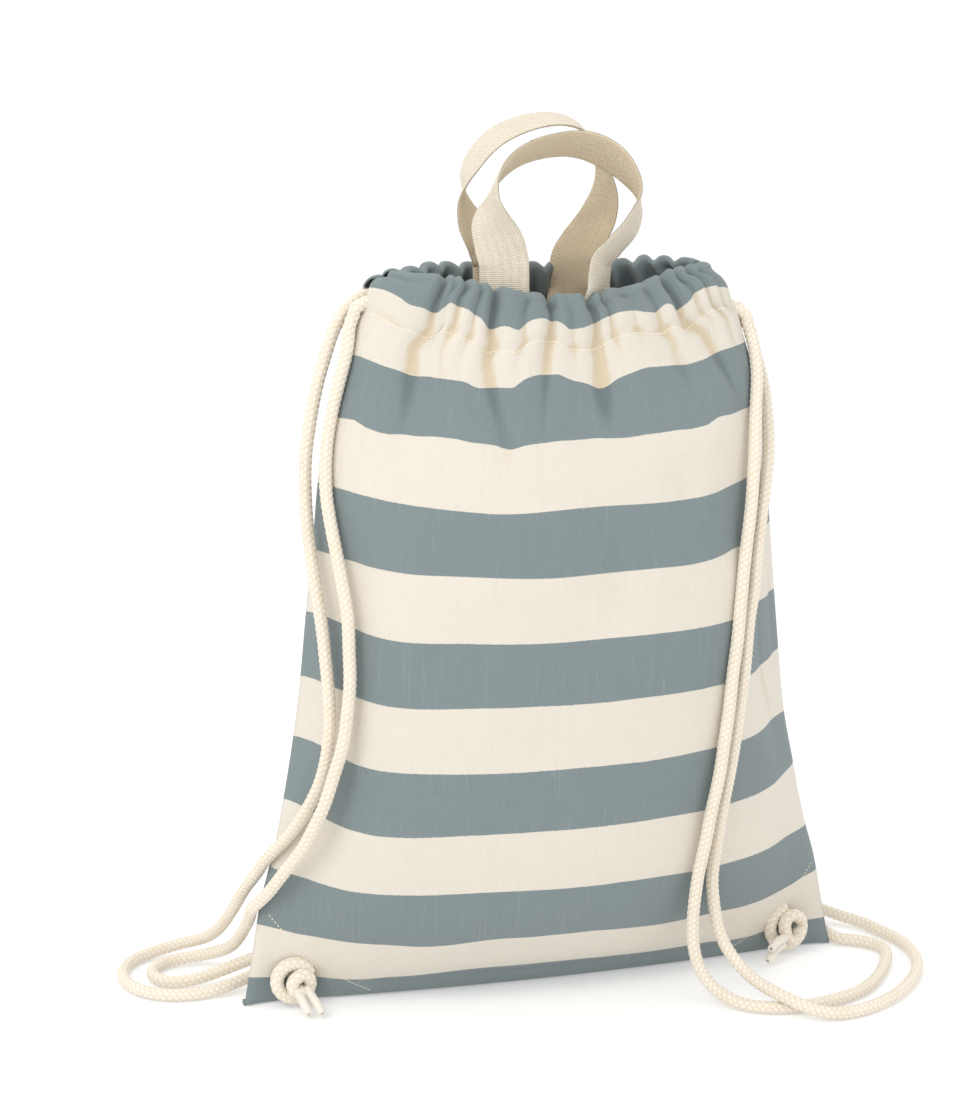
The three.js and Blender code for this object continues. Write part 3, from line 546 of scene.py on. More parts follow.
def smooth_curve(stations, values):
    """A curve through the stations that doesn't overshoot them."""
    xs, ys = np.array(stations, float), np.array(values, float)
    gaps = np.diff(xs)
    slopes = np.diff(ys) / gaps
    inner = slopes[:-1] * slopes[1:]
    safe = np.where(inner > 0, slopes[:-1] + slopes[1:], 1)
    mean = np.where(inner > 0, 2 * inner / safe, 0)
    tangents = np.concatenate([[slopes[0]], mean, [slopes[-1]]])

    def read(at):
        i = np.clip(np.searchsorted(xs, at) - 1, 0, len(gaps) - 1)
        t = (np.clip(at, xs[0], xs[-1]) - xs[i]) / gaps[i]
        square, cube = t * t, t**3
        start = ys[i] * (2 * cube - 3 * square + 1) + gaps[i] * tangents[i] * (cube - 2 * square + t)
        return start + ys[i + 1] * (3 * square - 2 * cube) + gaps[i] * tangents[i + 1] * (cube - square)

    return read


def rise(value, low, high):
    """0 below low, 1 above high, smooth between."""
    t = np.clip((np.asarray(value, float) - low) / (high - low), 0, 1)
    return t * t * (3 - 2 * t)


def spline(points, step):
    """Evenly spaced points on a smooth curve through the given ones."""
    knots = np.array(points, float)
    padded = np.vstack([2 * knots[0] - knots[1], knots, 2 * knots[-1] - knots[-2]])
    pieces = []
    for i in range(1, len(padded) - 2):
        a, b, c, d = padded[i - 1 : i + 3]
        t = np.linspace(0, 1, 24, endpoint=False)[:, None]
        pieces.append(0.5 * (2 * b + (c - a) * t + (2 * a - 5 * b + 4 * c - d) * t**2 + (3 * b - a - 3 * c + d) * t**3))
    dense = np.vstack([*pieces, knots[-1:]])
    return resample(dense, step)


def resample(dense, step):
    lengths = np.concatenate([[0], np.cumsum(np.linalg.norm(np.diff(dense, axis=0), axis=1))])
    count = max(3, round(lengths[-1] / step) + 1)
    at = np.linspace(0, lengths[-1], count)
    return np.stack([np.interp(at, lengths, dense[:, k]) for k in range(3)], 1)


def length_of(points):
    return float(np.linalg.norm(np.diff(np.asarray(points), axis=0), axis=1).sum())


def unit(vectors):
    return vectors / np.maximum(np.linalg.norm(vectors, axis=-1, keepdims=True), 1e-9)


def carried_frames(points):
    """Two directions across a line at each point, carried along it without twist."""
    tangents = unit(np.gradient(points, axis=0))
    first = np.cross(tangents[0], (0.3, 0.9, 0.1))
    sides = [unit(first)]
    for tangent in tangents[1:]:
        side = sides[-1] - tangent * np.dot(sides[-1], tangent)
        sides.append(unit(side))
    sides = np.array(sides)
    return tangents, sides, np.cross(tangents, sides)


def grid_faces(rows, columns, closed=False):
    r = np.arange(rows - 1)[:, None]
    c = np.arange(columns if closed else columns - 1)[None, :]
    after = (c + 1) % columns
    return np.stack(
        [r * columns + c, r * columns + after, (r + 1) * columns + after, (r + 1) * columns + c], -1
    ).reshape(-1, 4)


def make_mesh(name, points, faces, flat=None, painted_shade=None, material=None, caps=()):
    """A smooth-shaded mesh object, in metres, with its place on the flat cloth as a UV map."""
    mesh = bpy.data.meshes.new(name)
    corners = [list(map(int, face)) for face in faces] + [list(cap) for cap in caps]
    mesh.from_pydata(np.asarray(points, float).tolist(), [], corners)
    mesh.shade_smooth()
    layer = mesh.uv_layers.new(name="flat")
    if flat is not None:
        used = np.zeros(len(mesh.loops), np.int64)
        mesh.loops.foreach_get("vertex_index", used)
        layer.data.foreach_set("uv", np.asarray(flat, float)[used].astype(np.float32).ravel())
    # Each point's strength of painted shade, by which the materials darken their colour.
    shade = mesh.attributes.new("painted_shade", "FLOAT", "POINT")
    if painted_shade is not None:
        shade.data.foreach_set("value", np.asarray(painted_shade, np.float32).ravel())
    piece = bpy.data.objects.new(name, mesh)
    bpy.context.scene.collection.objects.link(piece)
    if material:
        mesh.materials.append(material)
    return piece


def seal_wrap(piece, columns, width):
    """Corrects the UV of the last column of a tube, which runs back to the first one."""
    layer = piece.data.uv_layers["flat"].data
    for face in piece.data.polygons:
        if len(face.vertices) != 4:
            continue
        at = [layer[i].uv[0] for i in face.loop_indices]
        if max(at) - min(at) > width / 2:
            for i in face.loop_indices:
                if layer[i].uv[0] < width / 2:
                    layer[i].uv[0] += width


def apply_modifier(piece, kind, **settings):
    modifier = piece.modifiers.new(kind.title(), kind)
    for key, setting in settings.items():
        setattr(modifier, key, setting)
    bpy.context.view_layer.objects.active = piece
    with bpy.context.temp_override(object=piece, active_object=piece, selected_objects=[piece]):
        bpy.ops.object.modifier_apply(modifier=modifier.name)


# --- The cloth ---


def hem_open(t):
    """How far a row of the cloth is into the part where the side seams are left open."""
    return rise(t, FOLD - HEM - 12, FOLD - HEM + 6)


def section(t, columns):
    """One row of the cloth: x and distance from the seam plane, evenly spaced along the cloth."""
    a = smooth_curve(STATIONS, HALF_WIDTHS)(t)
    b = smooth_curve(STATIONS, HALF_DEPTHS)(t)
    angle = np.linspace(-math.pi / 2, math.pi / 2, 721)
    power = 2 * (0.5 + 0.55 * rise(110 - t, 0, 85))
    x = a * np.sin(angle)
    y = CLOTH_FACE + (b - CLOTH_FACE) * np.cos(angle) ** power
    y = y - (CLOTH_FACE - 0.35) * rise(np.abs(x), a - 3.5, a)
    length = np.concatenate([[0], np.cumsum(np.hypot(np.diff(x), np.diff(y)))])
    share = np.linspace(-1, 1, columns) * (1 - 0.06 * hem_open(t))
    at = (share + 1) / 2 * length[-1]
    return np.interp(at, length, x), np.interp(at, length, y)


def hang(rows):
    """Heights of each row's points, so that the threads up the cloth keep their length."""
    steps = np.diff(rows["t"])
    run = np.diff(rows["x"], axis=0) ** 2 + np.diff(rows["y"], axis=0) ** 2
    climb = np.sqrt(np.maximum(steps[:, None] ** 2 - run, (0.15 * steps[:, None]) ** 2))
    return np.vstack([np.zeros(rows["x"].shape[1]), np.cumsum(climb, axis=0)])


def sag(s, t):
    """The sag over the whole cloth, smooth between its stations."""
    across = np.array([smooth_curve(SAG_COLUMNS, row)(s) for row in SAG])
    return np.array([smooth_curve(SAG_ROWS, column)(t) for column in across.T]).T


def fold_depths(s, t, gathers):
    """How far the gathers press the cloth in, in millimetres."""
    total = np.zeros_like(s)
    for place, depth, half, reach, lean in gathers:
        below = np.maximum(FOLD - 26 - t, 0)
        middle = place + lean * below / 60
        width = half * (1 + below / 55)
        fade = np.exp(-((below / reach) ** 1.5))
        total += depth * fade * np.exp(-(np.abs((s - middle) / width) ** 1.5))
    return total


def broad_folds(s, t, way):
    """Slack drapes in the belly of the cloth."""
    upper = rise(t, 210, 330) * (1 - rise(t, FOLD - 60, FOLD))
    drape = 2.2 * np.sin(s / 27 + t / 90 + way) + 1.5 * np.sin(s / 15 - t / 70 + 2 * way)
    low = 1.1 * np.sin(s / 34 - t / 48 + 1.7 * way) * rise(t, 30, 80) * (1 - rise(t, 200, 300))
    ears = rise(np.abs(s), 96, 120) * (1 - rise(np.abs(s), 140, 165)) * (1 - rise(t, 50, 110)) * rise(t, 2, 14)
    dimple = np.exp(-(((np.abs(s) - 154) / 15) ** 2) - ((t - 24) / 13) ** 2)
    return 0.9 * upper * drape - 2.2 * dimple + low + 1.0 * ears * np.sin((np.abs(s) - 96) / 13)


def normals_of(points):
    across = np.gradient(points, axis=1)
    up = np.gradient(points, axis=0)
    return unit(np.cross(across, up))


def cloth_grid(side, cloth):
    """The folded cloth of one side, as rows of points in millimetres, with its flat coordinates."""
    sign = -1 if side == "front" else 1
    count = cloth.columns
    t = np.arange(0, FOLD + 0.01, FOLD / round(FOLD / (cloth.row_step * 1000)))
    pairs = [section(value, count) for value in t]
    rows = {"t": t, "x": np.array([p[0] for p in pairs]), "y": np.array([p[1] for p in pairs])}
    z = hang(rows)
    s = np.linspace(-185, 185, count)
    tops = [425, 426, 417, 424, 423] if side == "front" else [424, 428, 426, 428, 423]
    top = np.interp(s, [-185, -120, 0, 120, 185], tops)
    z = z + (top - z[-1])[None, :] * rise(t, 330, FOLD)[:, None] ** 1.3
    grid_s, grid_t = np.meshgrid(s, t)
    z = z + sag(s, t) * (1 if side == "front" else 0.4 + 0.6 * np.abs(s / 185) ** 2)
    bend = -6.0 * np.abs(s / 185) ** 16 * np.exp(-t[:, None] / 60)
    points = np.stack([rows["x"], sign * rows["y"] + bend, z], -1)
    outward = normals_of(points) * (1 if side == "front" else -1)
    puff = 1.8 * np.sin(math.pi * np.clip((grid_t - (FOLD - HEM)) / HEM, 0, 1))
    puff = puff - 0.7 * np.exp(-(((grid_t - FOLD + HEM) / 2.5) ** 2))
    gathers = FRONT_GATHERS if side == "front" else BACK_GATHERS
    edge = 1 - rise(np.abs(grid_s), 172, 184) * (1 - 0.6 * hem_open(grid_t))
    press = fold_depths(grid_s, grid_t, gathers) - 1.6 * rise(grid_t, FOLD - 70, FOLD - 20)
    points = points + outward * ((puff - press + broad_folds(grid_s, grid_t, sign)) * edge)[..., None]
    points[..., 2] -= 0.45 * np.maximum(press, 0) * rise(grid_t, FOLD - 26, FOLD)
    points[..., 2] = np.maximum(points[..., 2], FLOOR_CLEARANCE)
    return add_base_and_lining(points, outward, s, t, sign)


def add_base_and_lining(points, outward, s, t, sign):
    """Adds the flat base below the first row, and the fold and the inner leg of the hem above the last."""
    share = BASE_SHARES[:, None, None]
    foot = points[0].copy()
    foot[:, 1] = sign * BASE_SEAM
    foot[:, 2] = FLOOR_CLEARANCE
    base = foot + (points[0] - foot) * share
    depth = np.abs(points[0][:, 1])[None, :]
    base_t = -depth * (1 - BASE_SHARES[:, None])
    flat_out = outward[-1].copy()
    flat_out[:, 2] = 0
    inward = -unit(flat_out)
    turns = np.linspace(0, math.pi, 9)[1:]
    up = np.array([0, 0, 1])
    fold = [
        points[-1] + inward * FOLD_RADIUS * (1 - math.cos(a)) + up * FOLD_RADIUS * 0.8 * math.sin(a) for a in turns
    ]
    fold_t = [FOLD + 2.2 * math.sin(a) for a in turns]
    down = np.arange(2, int(HEM / LINING_STEP))
    leg = [points[-1 - k] + inward * (2 * FOLD_RADIUS + 0.4 * min(k, 6)) for k in down]
    leg_t = [FOLD - LINING_STEP * k for k in down]
    every = np.concatenate([base, points, np.array(fold), np.array(leg)])
    rows_t = np.concatenate([base_t, np.repeat(t[:, None], len(s), 1)])
    above = np.repeat(np.array([*fold_t, *leg_t])[:, None], len(s), 1)
    flat = np.stack([np.broadcast_to(s, every.shape[:2]), np.concatenate([rows_t, above])], -1)
    return every, flat


def smoothed(grid, turns):
    """A grid of vectors with its small wrinkles averaged out. Its outer rows and columns stay."""
    for _ in range(turns):
        grid[1:-1] = grid[1:-1] * 0.5 + (grid[:-2] + grid[2:]) * 0.25
        grid[:, 1:-1] = grid[:, 1:-1] * 0.5 + (grid[:, :-2] + grid[:, 2:]) * 0.25
    return grid


def creases(points):
    """0 on flat and crowned cloth, up to 1 in the bottom of its folds, where shade is painted into the cloth's colour.
    """
    out = normals_of(points)
    total = np.zeros(points.shape[:2])
    for reach in (2, 4, 7):
        near = np.zeros_like(points)
        for dr, dc in ((reach, 0), (-reach, 0), (0, reach), (0, -reach)):
            r = np.clip(np.arange(points.shape[0]) + dr, 0, points.shape[0] - 1)
            c = np.clip(np.arange(points.shape[1]) + dc, 0, points.shape[1] - 1)
            near += points[r][:, c]
        total += np.einsum("ijk,ijk->ij", near / 4 - points, out) / reach
    return total


def settle_cloth(piece, cloth, rows, held_rows):
    """Lets the cloth relax over its stuffing for a few frames, with its hem and base held."""
    group = piece.vertex_groups.new(name="held")
    columns = cloth.columns
    for row in range(rows):
        weight = float(np.clip(1 - min(row - held_rows[0], held_rows[1] - row) / 14, 0.03, 1))
        group.add(list(range(row * columns, (row + 1) * columns)), weight, "REPLACE")
    edges = [r * columns + c for r in range(rows) for c in (0, 1, columns - 2, columns - 1)]
    group.add(edges, 1.0, "REPLACE")
    modifier = piece.modifiers.new("Cloth", "CLOTH")
    settings = modifier.settings
    settings.quality = 4
    settings.mass = 0.25
    settings.tension_stiffness = settings.compression_stiffness = 22
    settings.shear_stiffness = 8
    settings.bending_stiffness = 4
    settings.vertex_group_mass = "held"
    settings.pin_stiffness = 3
    settings.use_pressure = True
    settings.uniform_pressure_force = 2.2
    settings.effector_weights.gravity = 0
    settings.shrink_min = -0.012
    modifier.collision_settings.use_collision = False
    scene = bpy.context.scene
    for number in range(1, 13):
        scene.frame_set(number)
    with bpy.context.temp_override(object=piece, active_object=piece, selected_objects=[piece]):
        bpy.ops.object.modifier_apply(modifier=modifier.name)
    scene.frame_set(1)
    piece.vertex_groups.clear()


class Surface:
    """The finished cloth of one side. It finds the point and the normal at a place on the flat cloth."""

    def __init__(self, points, flat):
        self.points = points
        self.normals = normals_of(points)
        self.s = flat[0, :, 0]
        self.t = flat[:, flat.shape[1] // 2, 1]

    def at(self, s, t):
        column = np.interp(s, self.s, np.arange(len(self.s)))
        row = np.interp(t, self.t, np.arange(len(self.t)))
        c, r = int(min(column, len(self.s) - 2)), int(min(row, len(self.t) - 2))
        fc, fr = column - c, row - r
        blend = lambda grid: (
            (grid[r, c] * (1 - fc) + grid[r, c + 1] * fc) * (1 - fr)
            + (grid[r + 1, c] * (1 - fc) + grid[r + 1, c + 1] * fc) * fr
        )
        return blend(self.points), unit(blend(self.normals))


BUILT = {}


class OBJECT_OT_bag_cloth(bpy.types.Operator):
    """Builds the front and back cloth with their hems."""

    bl_idname = "object.bag_cloth"
    bl_label = "Build Cloth"

    def execute(self, context):
        cloth = context.scene.bag_cloth
        BUILT["canvas"] = canvas_material("striped_canvas", cloth)
        for side in ("front", "back"):
            grid, flat = cloth_grid(side, cloth)
            rows, columns = grid.shape[:2]
            faces = grid_faces(rows, columns)
            if side == "back":
                faces = faces[:, ::-1]
            piece = make_mesh(
                f"{side}_cloth", grid.reshape(-1, 3) * MM, faces, flat.reshape(-1, 2) * MM, None, BUILT["canvas"]
            )
            before = grid.reshape(-1, 3) * MM
            settle_cloth(piece, cloth, rows, (3, rows - 44))
            after = np.zeros(len(piece.data.vertices) * 3)
            piece.data.vertices.foreach_get("co", after)
            moved = smoothed((after.reshape(-1, 3) - before).reshape(rows, columns, 3), SMOOTHING_PASSES)
            moved = moved.reshape(-1, 3)
            far = np.linalg.norm(moved, axis=1, keepdims=True)
            moved *= np.minimum(1, MOST_SETTLING / np.maximum(far, 1e-9))
            after = before + moved
            after[:, 2] = np.maximum(after[:, 2], FLOOR_CLEARANCE * MM)
            piece.data.vertices.foreach_set("co", after.ravel())
            grid = after.reshape(rows, columns, 3) / MM
            # Painted shade: the cloth is darkened in the bottom of its folds, more where the fold is deeper.
            shade = np.clip(creases(grid) * (1 if side == "front" else -1) * 2.4 - 0.14, 0, 1)
            piece.data.attributes["painted_shade"].data.foreach_set("value", shade.astype(np.float32).ravel())
            BUILT[side] = Surface(grid, flat)
            apply_modifier(piece, "SOLIDIFY", thickness=cloth.thickness, offset=-1)
            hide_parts(f"{side}_panel", f"{side}_hem")
            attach(piece, "bag")
        return {"FINISHED"}


def stitch_line(name, places, side, spacing, size, material):
    """A row of thread stitches along a line of places on the flat cloth."""
    surface = BUILT[side]
    places = np.array([(s, t, 0.0) for s, t in places])
    dots = resample(places, spacing / 2)
    points, faces, flat = [], [], []
    way = 1 if side == "front" else -1
    for i in range(0, len(dots) - 1, 2):
        (start, n1), (end, n2) = surface.at(*dots[i][:2]), surface.at(*dots[i + 1][:2])
        middle, normal = (start + end) / 2, unit(n1 + n2) * way
        along = unit(end - start)
        across = np.cross(normal, along)
        base = len(points)
        shape = [(-1.0, 0.0), (-0.8, 0.7), (0.0, 1.0), (0.8, 0.7), (1.0, 0.0)]
        for way_along, fat in shape:
            for k in range(6):
                angle = math.pi * k / 5
                offset = across * math.cos(angle) * size * max(fat, 0.25) + normal * (
                    math.sin(angle) * size * 0.8 * fat - 0.12
                )
                points.append(middle + along * way_along * spacing * 0.33 + offset)
                flat.append((k * 0.2, way_along * spacing * 0.33 + i))
        faces += (grid_faces(5, 6) + base).tolist()
    piece = make_mesh(name, np.array(points) * MM, faces, np.array(flat) * MM, None, material)
    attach(piece, "bag")
    return piece


class OBJECT_OT_bag_stitching(bpy.types.Operator):
    """Sews the hems and the corner patches."""

    bl_idname = "object.bag_stitching"
    bl_label = "Sew Hems and Corners"

    def execute(self, context):
        thread = thread_material(context.scene.bag_cord)
        hem_t = FOLD - HEM - 1.5
        for side in ("front", "back"):
            across = np.linspace(-176, 176, 120)
            stitch_line(f"{side}_hem_stitching", [(s, hem_t) for s in across], side, 3.0, 0.42, thread)
            for name, sign in (("left", -1), ("right", 1)):
                line = [(sign * (177 - 66 * k), 66 - 60 * k) for k in np.linspace(0, 1, 20)]
                stitch_line(f"{side}_{name}_corner_stitching", line, side, 2.6, 0.38, thread)
        lining = canvas_material("plain_canvas", context.scene.bag_cloth, False)
        for side in ("front", "back"):
            for name in ("left", "right"):
                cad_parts[f"{side}_{name}_corner_patch"].data.materials.clear()
                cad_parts[f"{side}_{name}_corner_patch"].data.materials.append(lining)
        return {"FINISHED"}


# --- Cords ---


def braid(piece_name, path, cord, material, start_angle=0.0, fullness=1.0):
    """A braided cord along a line in millimetres: columns of V-shaped stitches round it."""
    pitch = cord.stitch_length * 1000
    around = cord.wales * 5
    line = resample(path, pitch / 6)
    _, side, up = carried_frames(line)
    distance = np.arange(len(line)) * (length_of(line) / (len(line) - 1))
    angle = np.arange(around) / around * 2 * math.pi + start_angle
    wale = (np.arange(around) / 5)[None, :]
    within = wale - np.floor(wale) - 0.5
    parity = np.floor(wale) % 2
    phase = distance[:, None] / pitch + parity * 0.5 + np.abs(within) * 0.85
    bump = (0.5 + 0.5 * np.cos(2 * math.pi * phase)) ** 0.7
    ridge = np.sqrt(np.maximum(1 - (2 * within) ** 2, 0.0))
    height = 0.3 + 0.7 * bump * (0.35 + 0.65 * ridge)
    radius = cord.diameter * 500 * fullness - 0.62 * (1 - height)
    ring = side[:, None, :] * np.cos(angle)[None, :, None] + up[:, None, :] * np.sin(angle)[None, :, None]
    points = line[:, None, :] + ring * radius[..., None]
    girth = math.pi * cord.diameter * 1000
    flat = np.stack(
        [np.broadcast_to(np.arange(around) / around * girth, points.shape[:2]),
         np.broadcast_to(distance[:, None], points.shape[:2])], -1
    )
    faces = grid_faces(len(line), around, True)
    caps = [list(range(around))[::-1], [(len(line) - 1) * around + k for k in range(around)]]
    # Painted shade: the lower a point lies between the stitches, the darker its colour is painted.
    groove_shade = np.clip(1.25 * (1 - height), 0, 1)
    return make_mesh(piece_name, points.reshape(-1, 3) * MM, faces, flat.reshape(-1, 2) * MM, groove_shade, material, caps)


def obstacle_tree():
    """The cloth of both sides, for finding what a cord lies against."""
    points, faces = [], []
    for side in ("front", "back"):
        grid = BUILT[side].points
        grid = grid[::2, ::2]
        base = len(points)
        points += grid.reshape(-1, 3).tolist()
        around = grid_faces(grid.shape[0], grid.shape[1])
        if side == "back":
            around = around[:, ::-1]
        faces += (around + base).tolist()
    return BVHTree.FromPolygons([Vector(p) for p in points], faces)


def clear_of(tree, point, rest):
    """The nearest place to a point that is rest away from the cloth and the floor."""
    where, normal, _, gap = tree.find_nearest(Vector(point), 30)
    if where is not None:
        out = Vector(point) - where
        inside = out.dot(normal) < 0
        if inside or gap < rest:
            point = where + (normal if inside else out.normalized()) * rest
    return (point[0], point[1], max(point[2], rest - 0.1))


def settle_cord(lines, tree, radius, held_start, held_end):
    """Moves two strands until they lie against the cloth, the floor and each other."""
    rest = radius + 0.4
    for turn in range(40):
        for line in lines:
            for share in (0.25, -0.26) if turn < 30 else ():
                bend = (line[:-2] + line[2:]) / 2 - line[1:-1]
                line[held_start:-held_end] += bend[held_start - 1 : len(line) - held_end - 1] * share
            for i in range(held_start, len(line) - held_end):
                line[i] = clear_of(tree, line[i], rest)
        first, second = lines
        gaps = second[None, :, :] - first[:, None, :]
        far = np.linalg.norm(gaps, axis=2)
        for i, j in zip(*np.where(far < 2 * radius + STRAND_GAP)):
            push = unit(gaps[i, j]) * (2 * radius + STRAND_GAP - far[i, j]) / 2
            if held_start <= i < len(first) - held_end:
                first[i] -= push
            if held_start <= j < len(second) - held_end:
                second[j] += push
    for line in lines:
        ease_bends(line, tree, rest)
    return lines


def ease_bends(line, tree, rest, least=17.5):
    """Opens every bend that is tighter than the cord would take."""
    for _ in range(120):
        before, here, after = line[:-2], line[1:-1], line[2:]
        a, b, c = (np.linalg.norm(q - p, axis=1) for p, q in ((before, here), (here, after), (before, after)))
        area = np.linalg.norm(np.cross(here - before, after - before), axis=1) / 2
        radius = a * b * c / np.maximum(4 * area, 1e-6)
        tight = np.clip((least - radius) / least, 0, 1) * 1.6
        tight[-1:] = 0
        line[1:-1] += ((before + after) / 2 - here) * np.minimum(tight, 0.5)[:, None]
        for i in range(3, len(line) - 4):
            line[i] = clear_of(tree, line[i], rest - 0.15)


class OBJECT_OT_bag_cords(bpy.types.Operator):
    """Lays the four free strands of cord and the turns at the ends of the hems."""

    bl_idname = "object.bag_cords"
    bl_label = "Lay Cords"

    def execute(self, context):
        cord = context.scene.bag_cord
        rope = BUILT["rope"] = rope_material("braided_cord", cord)
        tree = obstacle_tree()
        radius = cord.diameter * 500
        for side in ("left", "right"):
            names = [f"{side}_cord_{end}_strand" for end in ("front", "back")]
            lines = [spline(np.array(STRANDS[name]) * 1000, 6.0) for name in names]
            lines = settle_cord(lines, tree, radius, 4, 5)
            for name, line in zip(names, lines):
                path = spline(line, 1.0)
                piece = braid(name + "_braid", path, cord, rope)
                seal_wrap(piece, cord.wales * 5, math.pi * cord.diameter)
                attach(piece, "bag")
                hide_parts(name)
            self.turn(side, cord, rope)
        return {"FINISHED"}

    def turn(self, side, cord, rope):
        """The visible bend where a cord passes from the front hem to the back one at the far side."""
        sign = 1 if side == "left" else -1
        z = 412.5 if side == "left" else 403.5
        edge = 92 if side == "left" else 95
        half = [(edge - 24, -18.5), (edge - 12, -14), (edge - 2, -8.5), (edge + 2.6, -4.5), (edge + 4.2, 0)]
        points = [(sign * x, y, z) for x, y in half] + [(sign * x, -y, z) for x, y in half[-2::-1]]
        piece = braid(f"{side}_cord_in_hem_braid", spline(points, 1.0), cord, rope)
        seal_wrap(piece, cord.wales * 5, math.pi * cord.diameter)
        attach(piece, "bag")
        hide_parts(f"{side}_cord_in_hem")


class OBJECT_OT_bag_knots(bpy.types.Operator):
    """Ties the knots in front of the eyelets and adds the taped ends."""

    bl_idname = "object.bag_knots"
    bl_label = "Tie Knots"

    def execute(self, context):
        cord = context.scene.bag_cord
        rope = BUILT["rope"]
        for side, centre in KNOTS.items():
            share = np.linspace(0, 1, 260)
            tall, start = (1.0, 0.3) if side == "left" else (1.12, 1.5)
            turn = start + share * 3.75 * math.pi
            inner = rise(share, 0.42, 0.7)
            reach = 9.8 - 5.9 * inner
            line = np.stack(
                [
                    2.6 * inner + reach * np.cos(turn),
                    3.4 - 9.2 * share,
                    tall * (reach * np.sin(turn) - 1.2 * inner),
                ],
                1,
            ) + np.array(centre)
            piece = braid(f"{side}_knot_braid", resample(line, 0.6), cord, rope, 0.0, 1.1)
            seal_wrap(piece, cord.wales * 5, math.pi * cord.diameter)
            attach(piece, "bag")
            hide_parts(f"{side}_cord_knot")
        tape = tape_material()
        for name, (start, end) in TIPS.items():
            self.tip(name, np.array(start, float), np.array(end, float), tape)
        metal = eyelet_material()
        for side in ("left", "right"):
            for node in (f"{side}_eyelet", f"{side}_eyelet_washer"):
                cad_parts[node].data.materials.clear()
                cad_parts[node].data.materials.append(metal)
        return {"FINISHED"}

    def tip(self, name, start, end, material):
        """A smooth tapered end with a dimple in it, painted near-black as shade in the hollow."""
        long = np.linalg.norm(end - start)
        profile = [(0.0, 2.6), (0.1, 2.7), (0.55, 2.6), (0.9, 2.45), (0.97, 2.2), (1.0, 1.6), (0.985, 1.0), (0.94, 0.5)]
        stations = np.interp(np.linspace(0, 1, 40), np.linspace(0, 1, len(profile)), [p[0] for p in profile])
        radii = np.interp(np.linspace(0, 1, 40), np.linspace(0, 1, len(profile)), [p[1] for p in profile])
        bow = np.array([0, 0, 1.2])
        line = start + (end - start) * stations[:, None] + bow * np.sin(np.clip(stations, 0, 1) * math.pi)[:, None]
        way = unit(end - start)
        side = unit(np.cross(way, (0.2, 0.3, 0.9)))
        up = np.cross(way, side)
        angle = np.arange(20) / 20 * 2 * math.pi
        wrinkle = 1 + 0.03 * np.sin(3 * angle[None, :] + stations[:, None] * 9)
        ring = side[None, None] * np.cos(angle)[None, :, None] + up[None, None] * np.sin(angle)[None, :, None]
        points = line[:, None, :] + ring * (radii[:, None] * wrinkle)[..., None]
        points[..., 2] = np.maximum(points[..., 2], 0.3)
        places = (angle * 2.5, (stations * long)[:, None])
        flat = np.stack([np.broadcast_to(place, points.shape[:2]) for place in places], -1)
        # Painted shade in the dimple: the last rows, curling into the end, grow near-black.
        dark = np.zeros(points.shape[:2])
        dark[-6:] = np.linspace(0, 1, 6)[:, None]
        caps = [list(range(20))[::-1], [39 * 20 + k for k in range(20)]]
        piece = make_mesh(
            name + "_tape", points.reshape(-1, 3) * MM, grid_faces(40, 20, True), flat.reshape(-1, 2) * MM, dark,
            material, caps
        )
        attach(piece, "bag")
        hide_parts(name)


